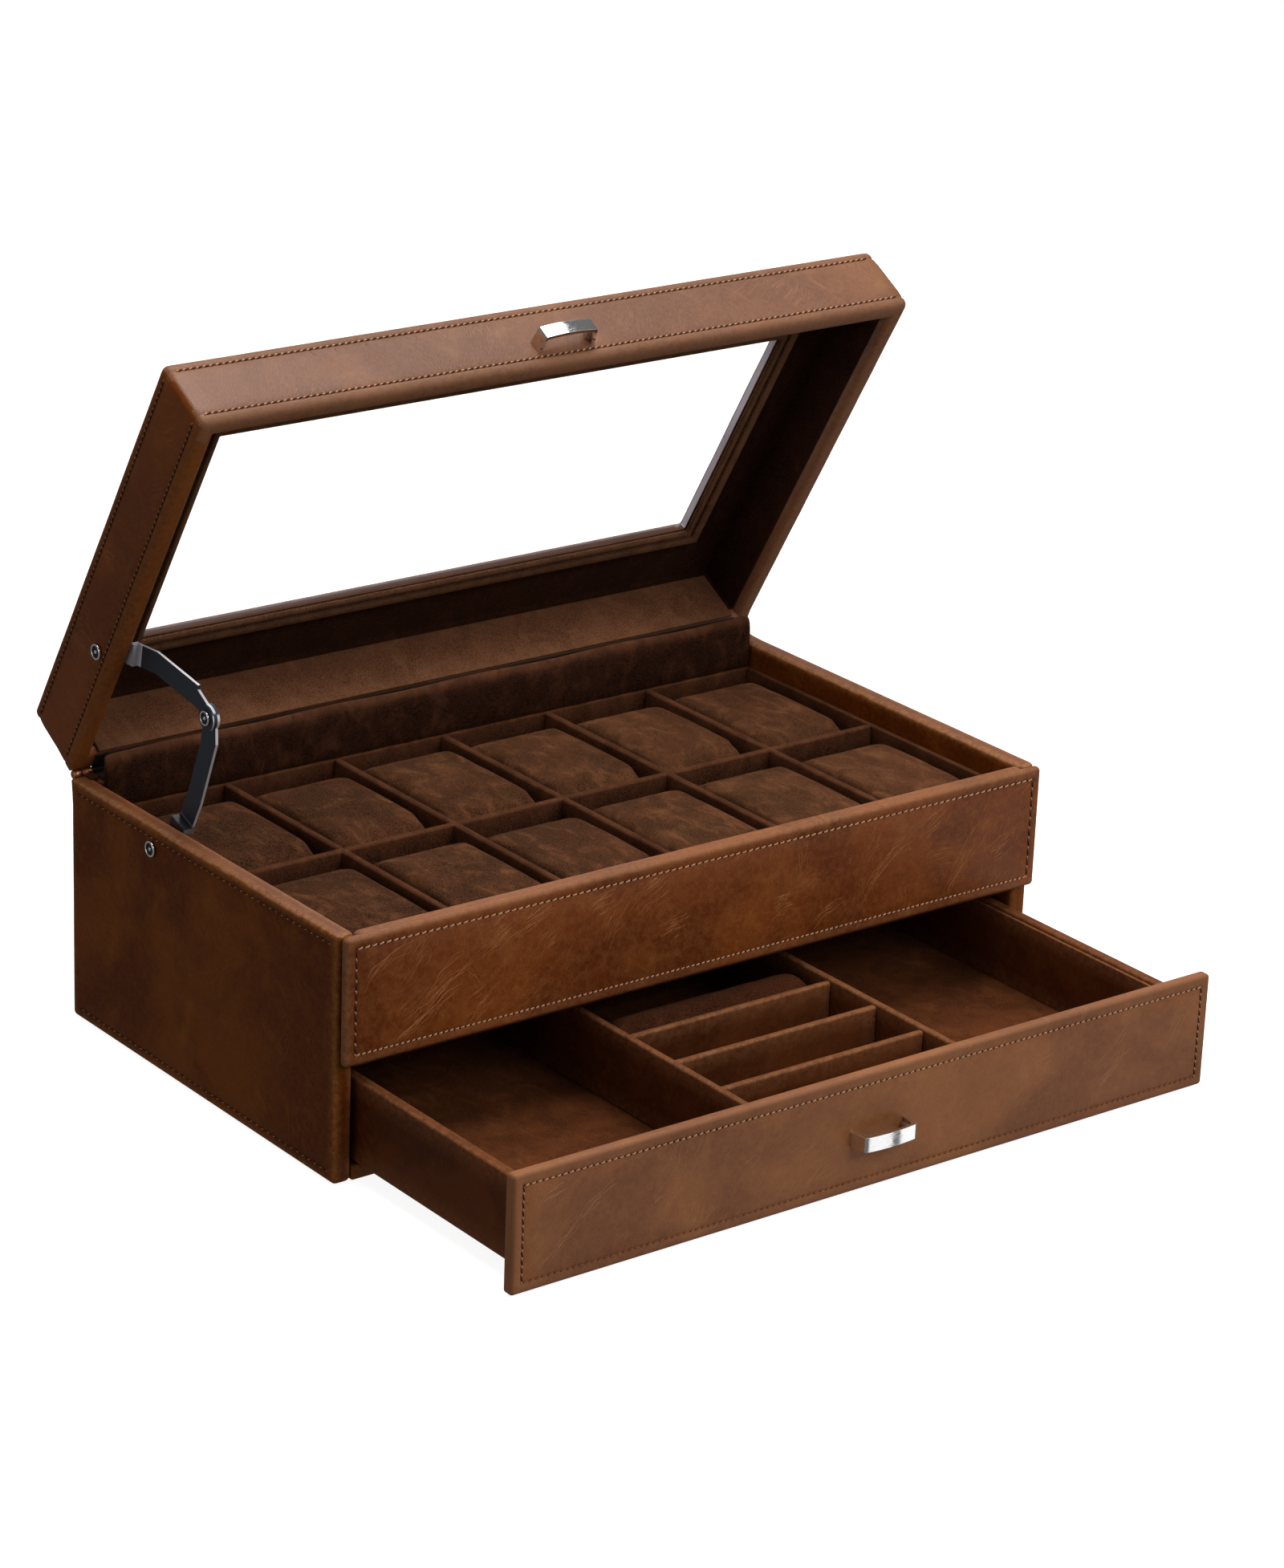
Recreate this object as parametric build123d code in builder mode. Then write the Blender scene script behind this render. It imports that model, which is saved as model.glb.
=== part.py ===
from build123d import *
from math import cos, hypot, radians, sin
import os

# A leather-covered watch box: a tray of twelve pillows under a glazed lid, and a drawer below.
# The box stands on the origin, X is its width, its front faces -Y, and Z is up.
# It is drawn as it stands in use: the lid raised and the drawer pulled out.

# Case
case_w = 330.0
case_d = 183.0
case_h = 98.0
wall_t = 8.0
base_t = 6.0
bay_h = 39.0
deck_t = 5.0
rail_t = 3.0
band_t = 5.0
band_inset = 1.0
band_rise = 3.0
soft_edge_r = 1.6
panel_gap = 1.0

# Tray
tray_lip = 10.0
tray_floor_t = 2.0
tray_side_t = 2.2
tray_side_room = 2.3
tray_end_t = 5.0
divider_t = 3.0
tray_columns = 6
tray_rows = 2
stay_notch = 7.0

# Pillows
pillow_side_gap = 1.9
pillow_end_gap = 2.0
soft_gap = 0.3
pillow_drop = 1.5
pillow_crown = 2.6
pillow_draw = 1.2
pillow_end_draw = 5.0
pillow_end_len = 7.0

# Lid and its hinge
lid_h = 31.0
lid_top_t = 4.0
lid_open = 60.0
hinge_gap = 1.5
hinge_out = 1.5
leaf_in = 7.5
hinge_side_gap = 2.0
knuckle_r = 1.42
knuckle_count = 7
knuckle_gap = 0.2
hinge_pin_r = 0.7
running_gap = 0.05
window_side = 33.0
window_front = 37.0
window_back = 40.0
glass_t = 2.0
glass_lap = 6.0
glass_play = 0.4
moulding_lip_t = 1.5
moulding_w = 12.0
lining_t = 1.0
lining_drop = 3.5
lining_side_gap = 3.0
flap_t = 3.3
flap_rise = 9.5
flap_side_gap = 0.6
lid_corner_cut = 3.0

# Lid stay
stay_r = 61.3
stay_half_angle = 8.77
stay_w = 9.0
stay_end_w = 10.0
stay_t = 1.1
stay_axial_gap = 0.1
stay_step = 2.0
stay_crank = 5.0
stay_low_crank = 2.6
crank_start_share = 0.17
crank_end_share = 0.4
strip_end_share = 0.87
flange_share = 0.4
elbow_out_share = 0.9
elbow_up_share = 0.45
stay_rivet_r = 1.5
stay_rivet_head_r = 3.0
stay_rivet_head_t = 0.7
stay_cup_r = 3.2
stay_cup_t = 0.9
stay_cup_hole_r = 1.9
stay_washer_r = 5.0
stay_washer_t = 0.5
stay_ring_r = 2.4
stay_ring_t = 0.5

# Pull handles
pull_len = 26.5
pull_w = 6.4
pull_out = 8.6
pull_t = 1.5
pull_bow = 0.9
pull_foot = 3.6
pull_screw_r = 1.2
pull_screw_head_r = 2.6
pull_screw_head_t = 1.5
pull_screw_depth = 4.0
lid_pull_z = 9.5
drawer_pull_z = 22.8

# Drawer
drawer_out = 102.0
front_t = 5.5
front_inset = 1.8
drawer_len = 165.0
drawer_side_gap = 2.0
drawer_lift = 0.5
drawer_top_gap = 5.0
drawer_wall_t = 4.5
drawer_floor_t = 3.0
drawer_lining_t = 1.0
drawer_lining_drop = 1.5
bin_divider_x = 49.0
slot_pitch = 27.3
slot_count = 3
slot_drop = 0.8
roll_gap = 0.4
roll_d = 24.0
roll_drop = 1.5
roll_end_draw = 2.5
roll_end_len = 6.0
roll_round_share = 0.96

# Levels and faces that follow from the sizes above
half_w = case_w / 2
half_d = case_d / 2
inner_w = half_w - wall_t
back_in = half_d - wall_t
bay_top = base_t + bay_h
deck_top = bay_top + deck_t
band_z = bay_top + band_rise
tray_top = case_h - tray_lip
tray_floor = deck_top + tray_floor_t
tray_x = inner_w - tray_side_t
tray_front = -half_d + rail_t + tray_end_t
tray_back = back_in - tray_end_t
column_x_end = tray_x - tray_side_room
column_w = (2 * column_x_end - (tray_columns - 1) * divider_t) / tray_columns
row_d = (tray_back - tray_front - (tray_rows - 1) * divider_t) / tray_rows
tray_mid_y = (tray_front + tray_back) / 2
column_x = [
    -column_x_end + column_w / 2 + i * (column_w + divider_t) for i in range(tray_columns)
]
row_y = [tray_front + row_d / 2 + j * (row_d + divider_t) for j in range(tray_rows)]
cross_x = [
    -column_x_end + (i + 1) * column_w + (i + 0.5) * divider_t for i in range(tray_columns - 1)
]
hinge_y = half_d + hinge_out
hinge_z = case_h + hinge_gap / 2
lid_front = -half_d - band_t
lid_plane = Plane(
    origin=(0, hinge_y, hinge_z),
    x_dir=(1, 0, 0),
    z_dir=(0, sin(radians(lid_open)), cos(radians(lid_open))),
)
drawer_plane = Plane(origin=(0, -half_d - drawer_out, 0), x_dir=(1, 0, 0), z_dir=(0, 0, 1))


# A plane whose drawing faces left or right, standing on the given plane at one X.
def side_plane(base, x):
    return Plane(
        origin=base.from_local_coords(Vector(x, 0, 0)), x_dir=base.y_dir, z_dir=base.x_dir
    )


# A straight board between two values of X, two of Y and two of Z, measured on one plane.
def board(base, x_span, y_span, z_span):
    with BuildSketch(base.offset(z_span[0])) as outline:
        with Locations(((x_span[0] + x_span[1]) / 2, (y_span[0] + y_span[1]) / 2)):
            Rectangle(x_span[1] - x_span[0], y_span[1] - y_span[0])
    extrude(outline.sketch, amount=z_span[1] - z_span[0])


# A round bar or bore along X, from one X to another, at a point given as Y and Z.
def bar_x(base, x_span, centre, radius, mode=Mode.ADD):
    with BuildSketch(side_plane(base, x_span[0])) as outline:
        with Locations(centre):
            Circle(radius)
    extrude(outline.sketch, amount=x_span[1] - x_span[0], mode=mode)


# A round bar or bore along Y, from one Y to another, at a point given as X and Z.
def bar_y(base, y_span, centre, radius, mode=Mode.ADD):
    front = Plane(
        origin=base.from_local_coords(Vector(0, y_span[0], 0)), x_dir=-base.x_dir, z_dir=base.y_dir
    )
    with BuildSketch(front) as outline:
        with Locations((-centre[0], centre[1])):
            Circle(radius)
    extrude(outline.sketch, amount=y_span[1] - y_span[0], mode=mode)


# Stay geometry, in the upright plane beside the left wall
stay_dy = -stay_r * cos(radians(stay_half_angle))
stay_dz = stay_r * sin(radians(stay_half_angle))
stay_wall_x = -inner_w + stay_axial_gap
flange_x = (stay_wall_x, stay_wall_x + stay_t)
upper_x = (flange_x[0] + stay_step, flange_x[1] + stay_step)
lower_x = (upper_x[1] + 2 * stay_axial_gap, upper_x[1] + 2 * stay_axial_gap + stay_t)
lid_pivot = (stay_dy, stay_dz)
case_pivot = (stay_dy, -stay_dz)
hinge_plane = Plane(origin=(0, hinge_y, hinge_z), x_dir=(1, 0, 0), z_dir=(0, 0, 1))

# Case boards
with BuildPart() as side_panel_left:
    board(Plane.XY, (-half_w, -inner_w), (-half_d, half_d), (0, case_h))
    fillet(side_panel_left.edges().filter_by(Axis.Y).group_by(Axis.Z)[-1], soft_edge_r)
    fillet(side_panel_left.edges().filter_by(Axis.Z).group_by(Axis.Y)[0], soft_edge_r)
    bar_x(hinge_plane, (-half_w, -inner_w), case_pivot, stay_rivet_r, Mode.SUBTRACT)

with BuildPart() as side_panel_right:
    board(Plane.XY, (inner_w, half_w), (-half_d, half_d), (0, case_h))
    fillet(side_panel_right.edges().filter_by(Axis.Y).group_by(Axis.Z)[-1], soft_edge_r)
    fillet(side_panel_right.edges().filter_by(Axis.Z).group_by(Axis.Y)[0], soft_edge_r)

with BuildPart() as back_panel:
    board(Plane.XY, (-inner_w, inner_w), (back_in, half_d), (0, case_h))

with BuildPart() as bottom_panel:
    board(Plane.XY, (-inner_w, inner_w), (-half_d, back_in), (0, base_t))

with BuildPart() as deck_panel:
    board(Plane.XY, (-inner_w, inner_w), (-half_d, back_in), (bay_top, deck_top))

with BuildPart() as front_rail:
    board(Plane.XY, (-inner_w, inner_w), (-half_d, -half_d + rail_t), (deck_top, case_h))
    fillet(front_rail.edges().filter_by(Axis.X).group_by(Axis.Z)[-1].sort_by(Axis.Y)[-1], soft_edge_r)

with BuildPart() as front_band:
    board(
        Plane.XY,
        (-half_w + band_inset, half_w - band_inset),
        (-half_d - band_t, -half_d),
        (band_z, case_h),
    )
    fillet(front_band.faces().sort_by(Axis.Y)[0].edges(), soft_edge_r)

# Tray
with BuildPart() as tray_floor_board:
    board(Plane.XY, (-inner_w, inner_w), (-half_d + rail_t, back_in), (deck_top, tray_floor))

with BuildPart() as tray_wall_left:
    board(
        Plane.XY, (-inner_w, -tray_x), (tray_front, tray_back), (tray_floor, tray_top - stay_notch)
    )

with BuildPart() as tray_wall_right:
    board(Plane.XY, (tray_x, inner_w), (tray_front, tray_back), (tray_floor, tray_top))

with BuildPart() as tray_wall_front:
    board(
        Plane.XY, (-inner_w, inner_w), (-half_d + rail_t, tray_front), (tray_floor, tray_top)
    )

with BuildPart() as tray_wall_back:
    board(Plane.XY, (-inner_w, inner_w), (tray_back, back_in), (tray_floor, tray_top))

# The long divider is notched from above and the cross dividers from below.
lap_z = (tray_floor + tray_top) / 2
with BuildPart() as tray_long_divider:
    board(
        Plane.XY,
        (-tray_x, tray_x),
        (tray_mid_y - divider_t / 2, tray_mid_y + divider_t / 2),
        (tray_floor, tray_top),
    )
    with BuildSketch(Plane.XY.offset(lap_z)):
        with Locations(*[(x, tray_mid_y) for x in cross_x]):
            Rectangle(divider_t, divider_t)
    extrude(amount=tray_top - lap_z, mode=Mode.SUBTRACT)
    # its left end steps down with the left wall, where the folded stay passes
    with BuildSketch(Plane.XY.offset(tray_top - stay_notch)):
        with Locations((-(tray_x + column_x_end) / 2, tray_mid_y)):
            Rectangle(tray_side_room, divider_t)
    extrude(amount=stay_notch, mode=Mode.SUBTRACT)

with BuildPart() as tray_cross_dividers:
    with BuildSketch(Plane.XY.offset(tray_floor)):
        with Locations(*[(x, tray_mid_y) for x in cross_x]):
            Rectangle(divider_t, tray_back - tray_front)
    extrude(amount=tray_top - tray_floor)
    with BuildSketch(Plane.XY.offset(tray_floor)):
        with Locations(*[(x, tray_mid_y) for x in cross_x]):
            Rectangle(divider_t, divider_t)
    extrude(amount=lap_z - tray_floor, mode=Mode.SUBTRACT)

# Pillows: a flat foot, bulged sides drawn in at foot and shoulder, and a crowned top
pillow_w = column_w - 2 * pillow_side_gap
pillow_l = row_d - 2 * pillow_end_gap
pillow_foot = tray_floor + soft_gap
pillow_top = tray_top - pillow_drop


def pillow_section(width, crown_top):
    shoulder = crown_top - pillow_crown
    half_foot = width / 2 - pillow_draw
    middle = (pillow_foot + shoulder) / 2
    with BuildLine() as edge:
        Line((-half_foot, pillow_foot), (half_foot, pillow_foot))
        ThreePointArc((half_foot, pillow_foot), (width / 2, middle), (half_foot, shoulder))
        ThreePointArc((half_foot, shoulder), (0, crown_top), (-half_foot, shoulder))
        ThreePointArc((-half_foot, shoulder), (-width / 2, middle), (-half_foot, pillow_foot))
    make_face(edge.edges())


# Each station along a pillow: its distance from the middle, its width and its crown's height
pillow_stations = [
    (-pillow_l / 2, pillow_w - 2 * pillow_end_draw, pillow_top - pillow_end_draw),
    (-pillow_l / 2 + pillow_end_len / 2, pillow_w - pillow_end_draw / 2, pillow_top - pillow_crown / 2),
    (-pillow_l / 2 + 2 * pillow_end_len, pillow_w, pillow_top),
    (pillow_l / 2 - 2 * pillow_end_len, pillow_w, pillow_top),
    (pillow_l / 2 - pillow_end_len / 2, pillow_w - pillow_end_draw / 2, pillow_top - pillow_crown / 2),
    (pillow_l / 2, pillow_w - 2 * pillow_end_draw, pillow_top - pillow_end_draw),
]


def pillow(centre_x, centre_y):
    with BuildPart() as cushion:
        sections = []
        for station, width, crown_top in pillow_stations:
            upright = Plane(
                origin=(centre_x, centre_y + station, 0), x_dir=(1, 0, 0), z_dir=(0, -1, 0)
            )
            with BuildSketch(upright, mode=Mode.PRIVATE) as section:
                pillow_section(width, crown_top)
            sections.append(section.sketch)
        loft(sections, ruled=True)
    return cushion.part


pillow_parts = {}
for j, y in enumerate(row_y):
    for i, x in enumerate(column_x):
        row_name = "front" if j == 0 else "rear"
        pillow_parts[f"pillow_{row_name}_{i + 1}"] = pillow(x, y)

# Hinge
hinge_len = 2 * (inner_w - hinge_side_gap)
leaf_y = hinge_y - half_d + leaf_in
knuckle_pitch = hinge_len / knuckle_count
knuckle_len = knuckle_pitch - knuckle_gap
leaf_edge = knuckle_r + knuckle_gap
bore_r = hinge_pin_r + running_gap
leaf_z = (running_gap, hinge_gap / 2)


# One leaf of the hinge with its own knuckles; side is 1 for the lid's leaf and -1 for the case's.
def hinge_leaf(base, first, side):
    z_span = tuple(sorted((side * leaf_z[0], side * leaf_z[1])))
    board(base, (-hinge_len / 2, hinge_len / 2), (-leaf_y, -leaf_edge), z_span)
    for k in range(first, knuckle_count, 2):
        x0 = -hinge_len / 2 + k * knuckle_pitch + knuckle_gap / 2
        board(base, (x0, x0 + knuckle_len), (-leaf_edge, 0), z_span)
        bar_x(base, (x0, x0 + knuckle_len), (0, 0), knuckle_r)
    bar_x(base, (-hinge_len / 2, hinge_len / 2), (0, 0), bore_r, Mode.SUBTRACT)


with BuildPart() as hinge_leaf_case:
    hinge_leaf(hinge_plane, 0, -1)

with BuildPart() as hinge_leaf_lid:
    hinge_leaf(lid_plane, 1, 1)

with BuildPart() as hinge_pin:
    bar_x(hinge_plane, (-hinge_len / 2, hinge_len / 2), (0, 0), hinge_pin_r)

# Lid frame, measured from the hinge line on the lid's own plane
rim_z = hinge_gap / 2
lid_top = rim_z + lid_h
roof_z = lid_top - lid_top_t
lid_y = (lid_front - hinge_y, half_d - hinge_y)
lid_in_y = (lid_y[0] + wall_t, lid_y[1] - wall_t)
lid_up = Axis((0, 0, 0), lid_plane.z_dir)
lid_back_dir = Axis((0, 0, 0), lid_plane.y_dir)


# The edge of a lid board that lies nearest the hinge line.
def hinge_corner(board_part):
    rim_edges = board_part.edges().filter_by(Axis.X).group_by(lid_up)[0]
    return rim_edges.sort_by(lid_back_dir)[-1]


with BuildPart() as lid_side_left:
    board(lid_plane, (-half_w, -inner_w), lid_y, (rim_z, lid_top))
    chamfer(hinge_corner(lid_side_left), lid_corner_cut)
    fillet(lid_side_left.edges().filter_by(lid_back_dir).sort_by(Axis.X)[:2], soft_edge_r)
    fillet(lid_side_left.edges().filter_by(lid_up).group_by(lid_back_dir)[0], soft_edge_r)
    bar_x(lid_plane, (-half_w, -inner_w), lid_pivot, stay_rivet_r, Mode.SUBTRACT)

with BuildPart() as lid_side_right:
    board(lid_plane, (inner_w, half_w), lid_y, (rim_z, lid_top))
    chamfer(hinge_corner(lid_side_right), lid_corner_cut)
    fillet(lid_side_right.edges().filter_by(lid_back_dir).sort_by(Axis.X)[-2:], soft_edge_r)
    fillet(lid_side_right.edges().filter_by(lid_up).group_by(lid_back_dir)[0], soft_edge_r)

lid_pull_x = pull_len / 2 - pull_foot / 2
with BuildPart() as lid_front_board:
    board(lid_plane, (-inner_w, inner_w), (lid_y[0], lid_in_y[0]), (rim_z, lid_top))
    fillet(lid_front_board.edges().filter_by(Axis.X).group_by(lid_back_dir)[0], soft_edge_r)
    for x in (-lid_pull_x, lid_pull_x):
        bar_y(
            lid_plane, (lid_y[0], lid_in_y[0]), (x, rim_z + lid_pull_z), pull_screw_r, Mode.SUBTRACT
        )

with BuildPart() as lid_back_board:
    board(lid_plane, (-inner_w, inner_w), (lid_in_y[1], lid_y[1]), (rim_z, lid_top))
    chamfer(hinge_corner(lid_back_board), lid_corner_cut)

window_x = half_w - window_side
window_y = (lid_y[0] + window_front, lid_y[1] - window_back)
with BuildPart() as lid_top_frame:
    board(lid_plane, (-inner_w, inner_w), lid_in_y, (roof_z, lid_top))
    with BuildSketch(lid_plane.offset(roof_z)):
        with Locations((0, (window_y[0] + window_y[1]) / 2)):
            Rectangle(2 * window_x, window_y[1] - window_y[0])
    extrude(amount=lid_top_t, mode=Mode.SUBTRACT)

with BuildPart() as lid_glass:
    board(
        lid_plane,
        (-window_x - glass_lap, window_x + glass_lap),
        (window_y[0] - glass_lap, window_y[1] + glass_lap),
        (roof_z - glass_t, roof_z),
    )

moulding_z = roof_z - glass_t - moulding_lip_t
glass_room = glass_lap + glass_play
with BuildPart() as window_moulding:
    board(
        lid_plane,
        (-window_x - moulding_w, window_x + moulding_w),
        (window_y[0] - moulding_w, window_y[1] + moulding_w),
        (moulding_z, roof_z),
    )
    with BuildSketch(lid_plane.offset(moulding_z)):
        with Locations((0, (window_y[0] + window_y[1]) / 2)):
            Rectangle(2 * window_x, window_y[1] - window_y[0])
    extrude(amount=moulding_lip_t, mode=Mode.SUBTRACT)
    with BuildSketch(lid_plane.offset(roof_z - glass_t)):
        with Locations((0, (window_y[0] + window_y[1]) / 2)):
            Rectangle(2 * (window_x + glass_room), window_y[1] - window_y[0] + 2 * glass_room)
    extrude(amount=glass_t, mode=Mode.SUBTRACT)

# The suede lining of the lid's back wall hangs a little below the rim, inside the case.
lining_x = inner_w - lining_side_gap
with BuildPart() as lid_back_lining:
    board(lid_plane, (-lining_x, lining_x), (lid_in_y[1] - lining_t, lid_in_y[1]), (rim_z, moulding_z))
    board(
        lid_plane,
        (-lining_x, lining_x),
        (lid_in_y[1] - lining_t, lid_in_y[1] - soft_gap),
        (rim_z - lining_drop, rim_z),
    )

# The padded suede cover stands on the tray's back wall and hides the hinge from inside.
lining_sweep = hypot(hinge_y - back_in + lining_t, lining_drop - rim_z)
flap_back = hinge_y - lining_sweep - soft_gap
flap_front = flap_back - flap_t
flap_x = inner_w - flap_side_gap
flap_top = case_h + flap_rise
flap_turn = flap_top - flap_t / 2
flap_foot_top = case_h - 2 * lining_drop
with BuildPart() as hinge_cover:
    with BuildSketch(side_plane(Plane.XY, -flap_x)):
        with BuildLine():
            Line((flap_front, tray_top), (back_in, tray_top))
            Line((back_in, tray_top), (back_in, flap_foot_top - (back_in - flap_back)))
            Line((back_in, flap_foot_top - (back_in - flap_back)), (flap_back, flap_foot_top))
            Line((flap_back, flap_foot_top), (flap_back, flap_turn))
            ThreePointArc(
                (flap_back, flap_turn),
                ((flap_back + flap_front) / 2, flap_top),
                (flap_front, flap_turn),
            )
            Line((flap_front, flap_turn), (flap_front, tray_top))
        make_face()
    extrude(amount=2 * flap_x)

# Lid stay: two cranked strips of equal length, so the four pivots form a rhombus
lid_pivot_point = lid_plane.from_local_coords(Vector(0, *lid_pivot))
case_pivot_point = hinge_plane.from_local_coords(Vector(0, *case_pivot))
hinge_point = Vector(0, hinge_y, hinge_z)
middle_point = lid_pivot_point + case_pivot_point - hinge_point
crank_start = stay_r * crank_start_share
crank_end = stay_r * crank_end_share
strip_end = stay_r * strip_end_share


# A plane with its X along one strip, from its wall pivot to the middle pivot.
def strip_plane(start, x):
    along = (middle_point - start).normalized()
    return Plane(origin=Vector(x, start.Y, start.Z), x_dir=along, z_dir=(1, 0, 0))


# The outline of a strip: its two sides step over by one crank near the wall and back at the end.
def strip_outline(points, half_widths):
    upper = [(p[0], p[1] + h) for p, h in zip(points, half_widths)]
    lower = [(p[0], p[1] - h) for p, h in zip(points, half_widths)]
    with BuildLine() as edge:
        Polyline(*upper, *reversed(lower), upper[0])
    make_face(edge.edges())


def stay_strip(start, x_span, near, far, crank, side):
    half = stay_w / 2
    # the flange that lies along the wall, round its pivot
    with BuildSketch(strip_plane(start, x_span[0])) as flange:
        Circle(stay_end_w / 2)
        strip_outline([(0, 0), (near, side * crank * flange_share)], [half, half])
    extrude(flange.sketch, amount=stay_t)
    # the strip itself, one step further in, out to the middle pivot
    with BuildSketch(strip_plane(start, x_span[1])) as strip:
        strip_outline(
            [(near, side * crank * flange_share), (far, side * crank), (strip_end, side * crank)],
            [half, half, half],
        )
        with Locations((stay_r, 0)):
            Circle(stay_end_w / 2)
        with BuildLine():
            Polyline(
                (strip_end - half, side * crank + half),
                (strip_end, side * crank + half),
                (stay_r + half * elbow_out_share, half * elbow_up_share),
                (stay_r, -half),
                (strip_end - half, side * crank - half),
                (strip_end - half, side * crank + half),
            )
        make_face()
    extrude(strip.sketch, amount=stay_t)
    # the riser between the two levels
    with BuildSketch(strip_plane(start, x_span[0])) as riser:
        strip_outline(
            [(near - stay_t, side * crank * flange_share), (near + stay_t, side * crank * flange_share)], [half, half]
        )
    extrude(riser.sketch, amount=x_span[1] - x_span[0] + stay_t)


with BuildPart() as stay_link_upper:
    stay_strip(lid_pivot_point, (flange_x[0], upper_x[0]), crank_start, crank_end, stay_crank, -1)
    bar_x(
        hinge_plane,
        (flange_x[0] - stay_t, lower_x[1] + stay_t),
        (lid_pivot_point.Y - hinge_y, lid_pivot_point.Z - hinge_z),
        stay_rivet_r + running_gap,
        Mode.SUBTRACT,
    )
    bar_x(
        hinge_plane,
        (flange_x[0] - stay_t, lower_x[1] + stay_t),
        (middle_point.Y - hinge_y, middle_point.Z - hinge_z),
        stay_rivet_r + 2 * running_gap,
        Mode.SUBTRACT,
    )

with BuildPart() as stay_link_lower:
    stay_strip(case_pivot_point, (flange_x[0], lower_x[0]), crank_start, crank_end, stay_low_crank, 1)
    bar_x(
        hinge_plane,
        (flange_x[0] - stay_t, lower_x[1] + stay_t),
        case_pivot,
        stay_rivet_r + running_gap,
        Mode.SUBTRACT,
    )
    bar_x(
        hinge_plane,
        (flange_x[0] - stay_t, lower_x[1] + stay_t),
        (middle_point.Y - hinge_y, middle_point.Z - hinge_z),
        stay_rivet_r,
        Mode.SUBTRACT,
    )

# Wall rivets: a cupped ring head outside, and a flat head over the strip's flange inside
with BuildPart() as stay_rivet_case:
    bar_x(hinge_plane, (-half_w - stay_cup_t, -half_w), case_pivot, stay_cup_r)
    bar_x(hinge_plane, (-half_w, flange_x[1] + stay_axial_gap), case_pivot, stay_rivet_r)
    bar_x(
        hinge_plane,
        (flange_x[1] + stay_axial_gap, flange_x[1] + stay_axial_gap + stay_rivet_head_t),
        case_pivot,
        stay_rivet_head_r,
    )
    bar_x(
        hinge_plane,
        (-half_w - stay_cup_t, -half_w - stay_cup_t / 3),
        case_pivot,
        stay_cup_hole_r,
        Mode.SUBTRACT,
    )

with BuildPart() as stay_rivet_lid:
    bar_x(lid_plane, (-half_w - stay_cup_t, -half_w), lid_pivot, stay_cup_r)
    bar_x(lid_plane, (-half_w, flange_x[1] + stay_axial_gap), lid_pivot, stay_rivet_r)
    bar_x(
        lid_plane,
        (flange_x[1] + stay_axial_gap, flange_x[1] + stay_axial_gap + stay_rivet_head_t),
        lid_pivot,
        stay_rivet_head_r,
    )
    bar_x(
        lid_plane,
        (-half_w - stay_cup_t, -half_w - stay_cup_t / 3),
        lid_pivot,
        stay_cup_hole_r,
        Mode.SUBTRACT,
    )

middle_yz = (middle_point.Y - hinge_y, middle_point.Z - hinge_z)
washer_x = upper_x[0] - stay_axial_gap - stay_washer_t
with BuildPart() as stay_rivet_middle:
    bar_x(hinge_plane, (washer_x - stay_ring_t, washer_x), middle_yz, stay_ring_r)
    bar_x(hinge_plane, (washer_x, lower_x[1]), middle_yz, stay_rivet_r)
    bar_x(hinge_plane, (lower_x[1], lower_x[1] + stay_rivet_head_t), middle_yz, stay_rivet_head_r)

with BuildPart() as stay_washer:
    bar_x(hinge_plane, (washer_x, washer_x + stay_washer_t), middle_yz, stay_washer_r)
    bar_x(hinge_plane, (washer_x, washer_x + stay_washer_t), middle_yz, stay_rivet_r, Mode.SUBTRACT)


# A strap pull: a bowed strap between two feet, seen from above, with its feet on one Y.
def pull_handle(base, face_y, centre_z):
    half = pull_len / 2
    inner = half - pull_foot
    shoulder = face_y - pull_out + pull_bow
    with BuildSketch(base.offset(centre_z - pull_w / 2)) as strap:
        with BuildLine():
            Line((-half, face_y), (-half, shoulder))
            ThreePointArc((-half, shoulder), (0, face_y - pull_out), (half, shoulder))
            Line((half, shoulder), (half, face_y))
            Line((half, face_y), (inner, face_y))
            Line((inner, face_y), (inner, shoulder + pull_t))
            ThreePointArc(
                (inner, shoulder + pull_t), (0, face_y - pull_out + pull_t), (-inner, shoulder + pull_t)
            )
            Line((-inner, shoulder + pull_t), (-inner, face_y))
            Line((-inner, face_y), (-half, face_y))
        make_face()
    extrude(strap.sketch, amount=pull_w)
    for x in (-half + pull_foot / 2, half - pull_foot / 2):
        bar_y(
            base, (face_y - pull_screw_depth, face_y), (x, centre_z), pull_screw_r, Mode.SUBTRACT
        )


# The two screws of a pull, from behind the board that carries it.
def pull_screws(base, face_y, board_t, centre_z):
    half = pull_len / 2
    for x in (-half + pull_foot / 2, half - pull_foot / 2):
        bar_y(base, (face_y - pull_screw_depth, face_y + board_t), (x, centre_z), pull_screw_r)
        bar_y(
            base,
            (face_y + board_t, face_y + board_t + pull_screw_head_t),
            (x, centre_z),
            pull_screw_head_r,
        )


with BuildPart() as lid_handle:
    pull_handle(lid_plane, lid_y[0], rim_z + lid_pull_z)

with BuildPart() as lid_handle_screws:
    pull_screws(lid_plane, lid_y[0], wall_t, rim_z + lid_pull_z)

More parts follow.
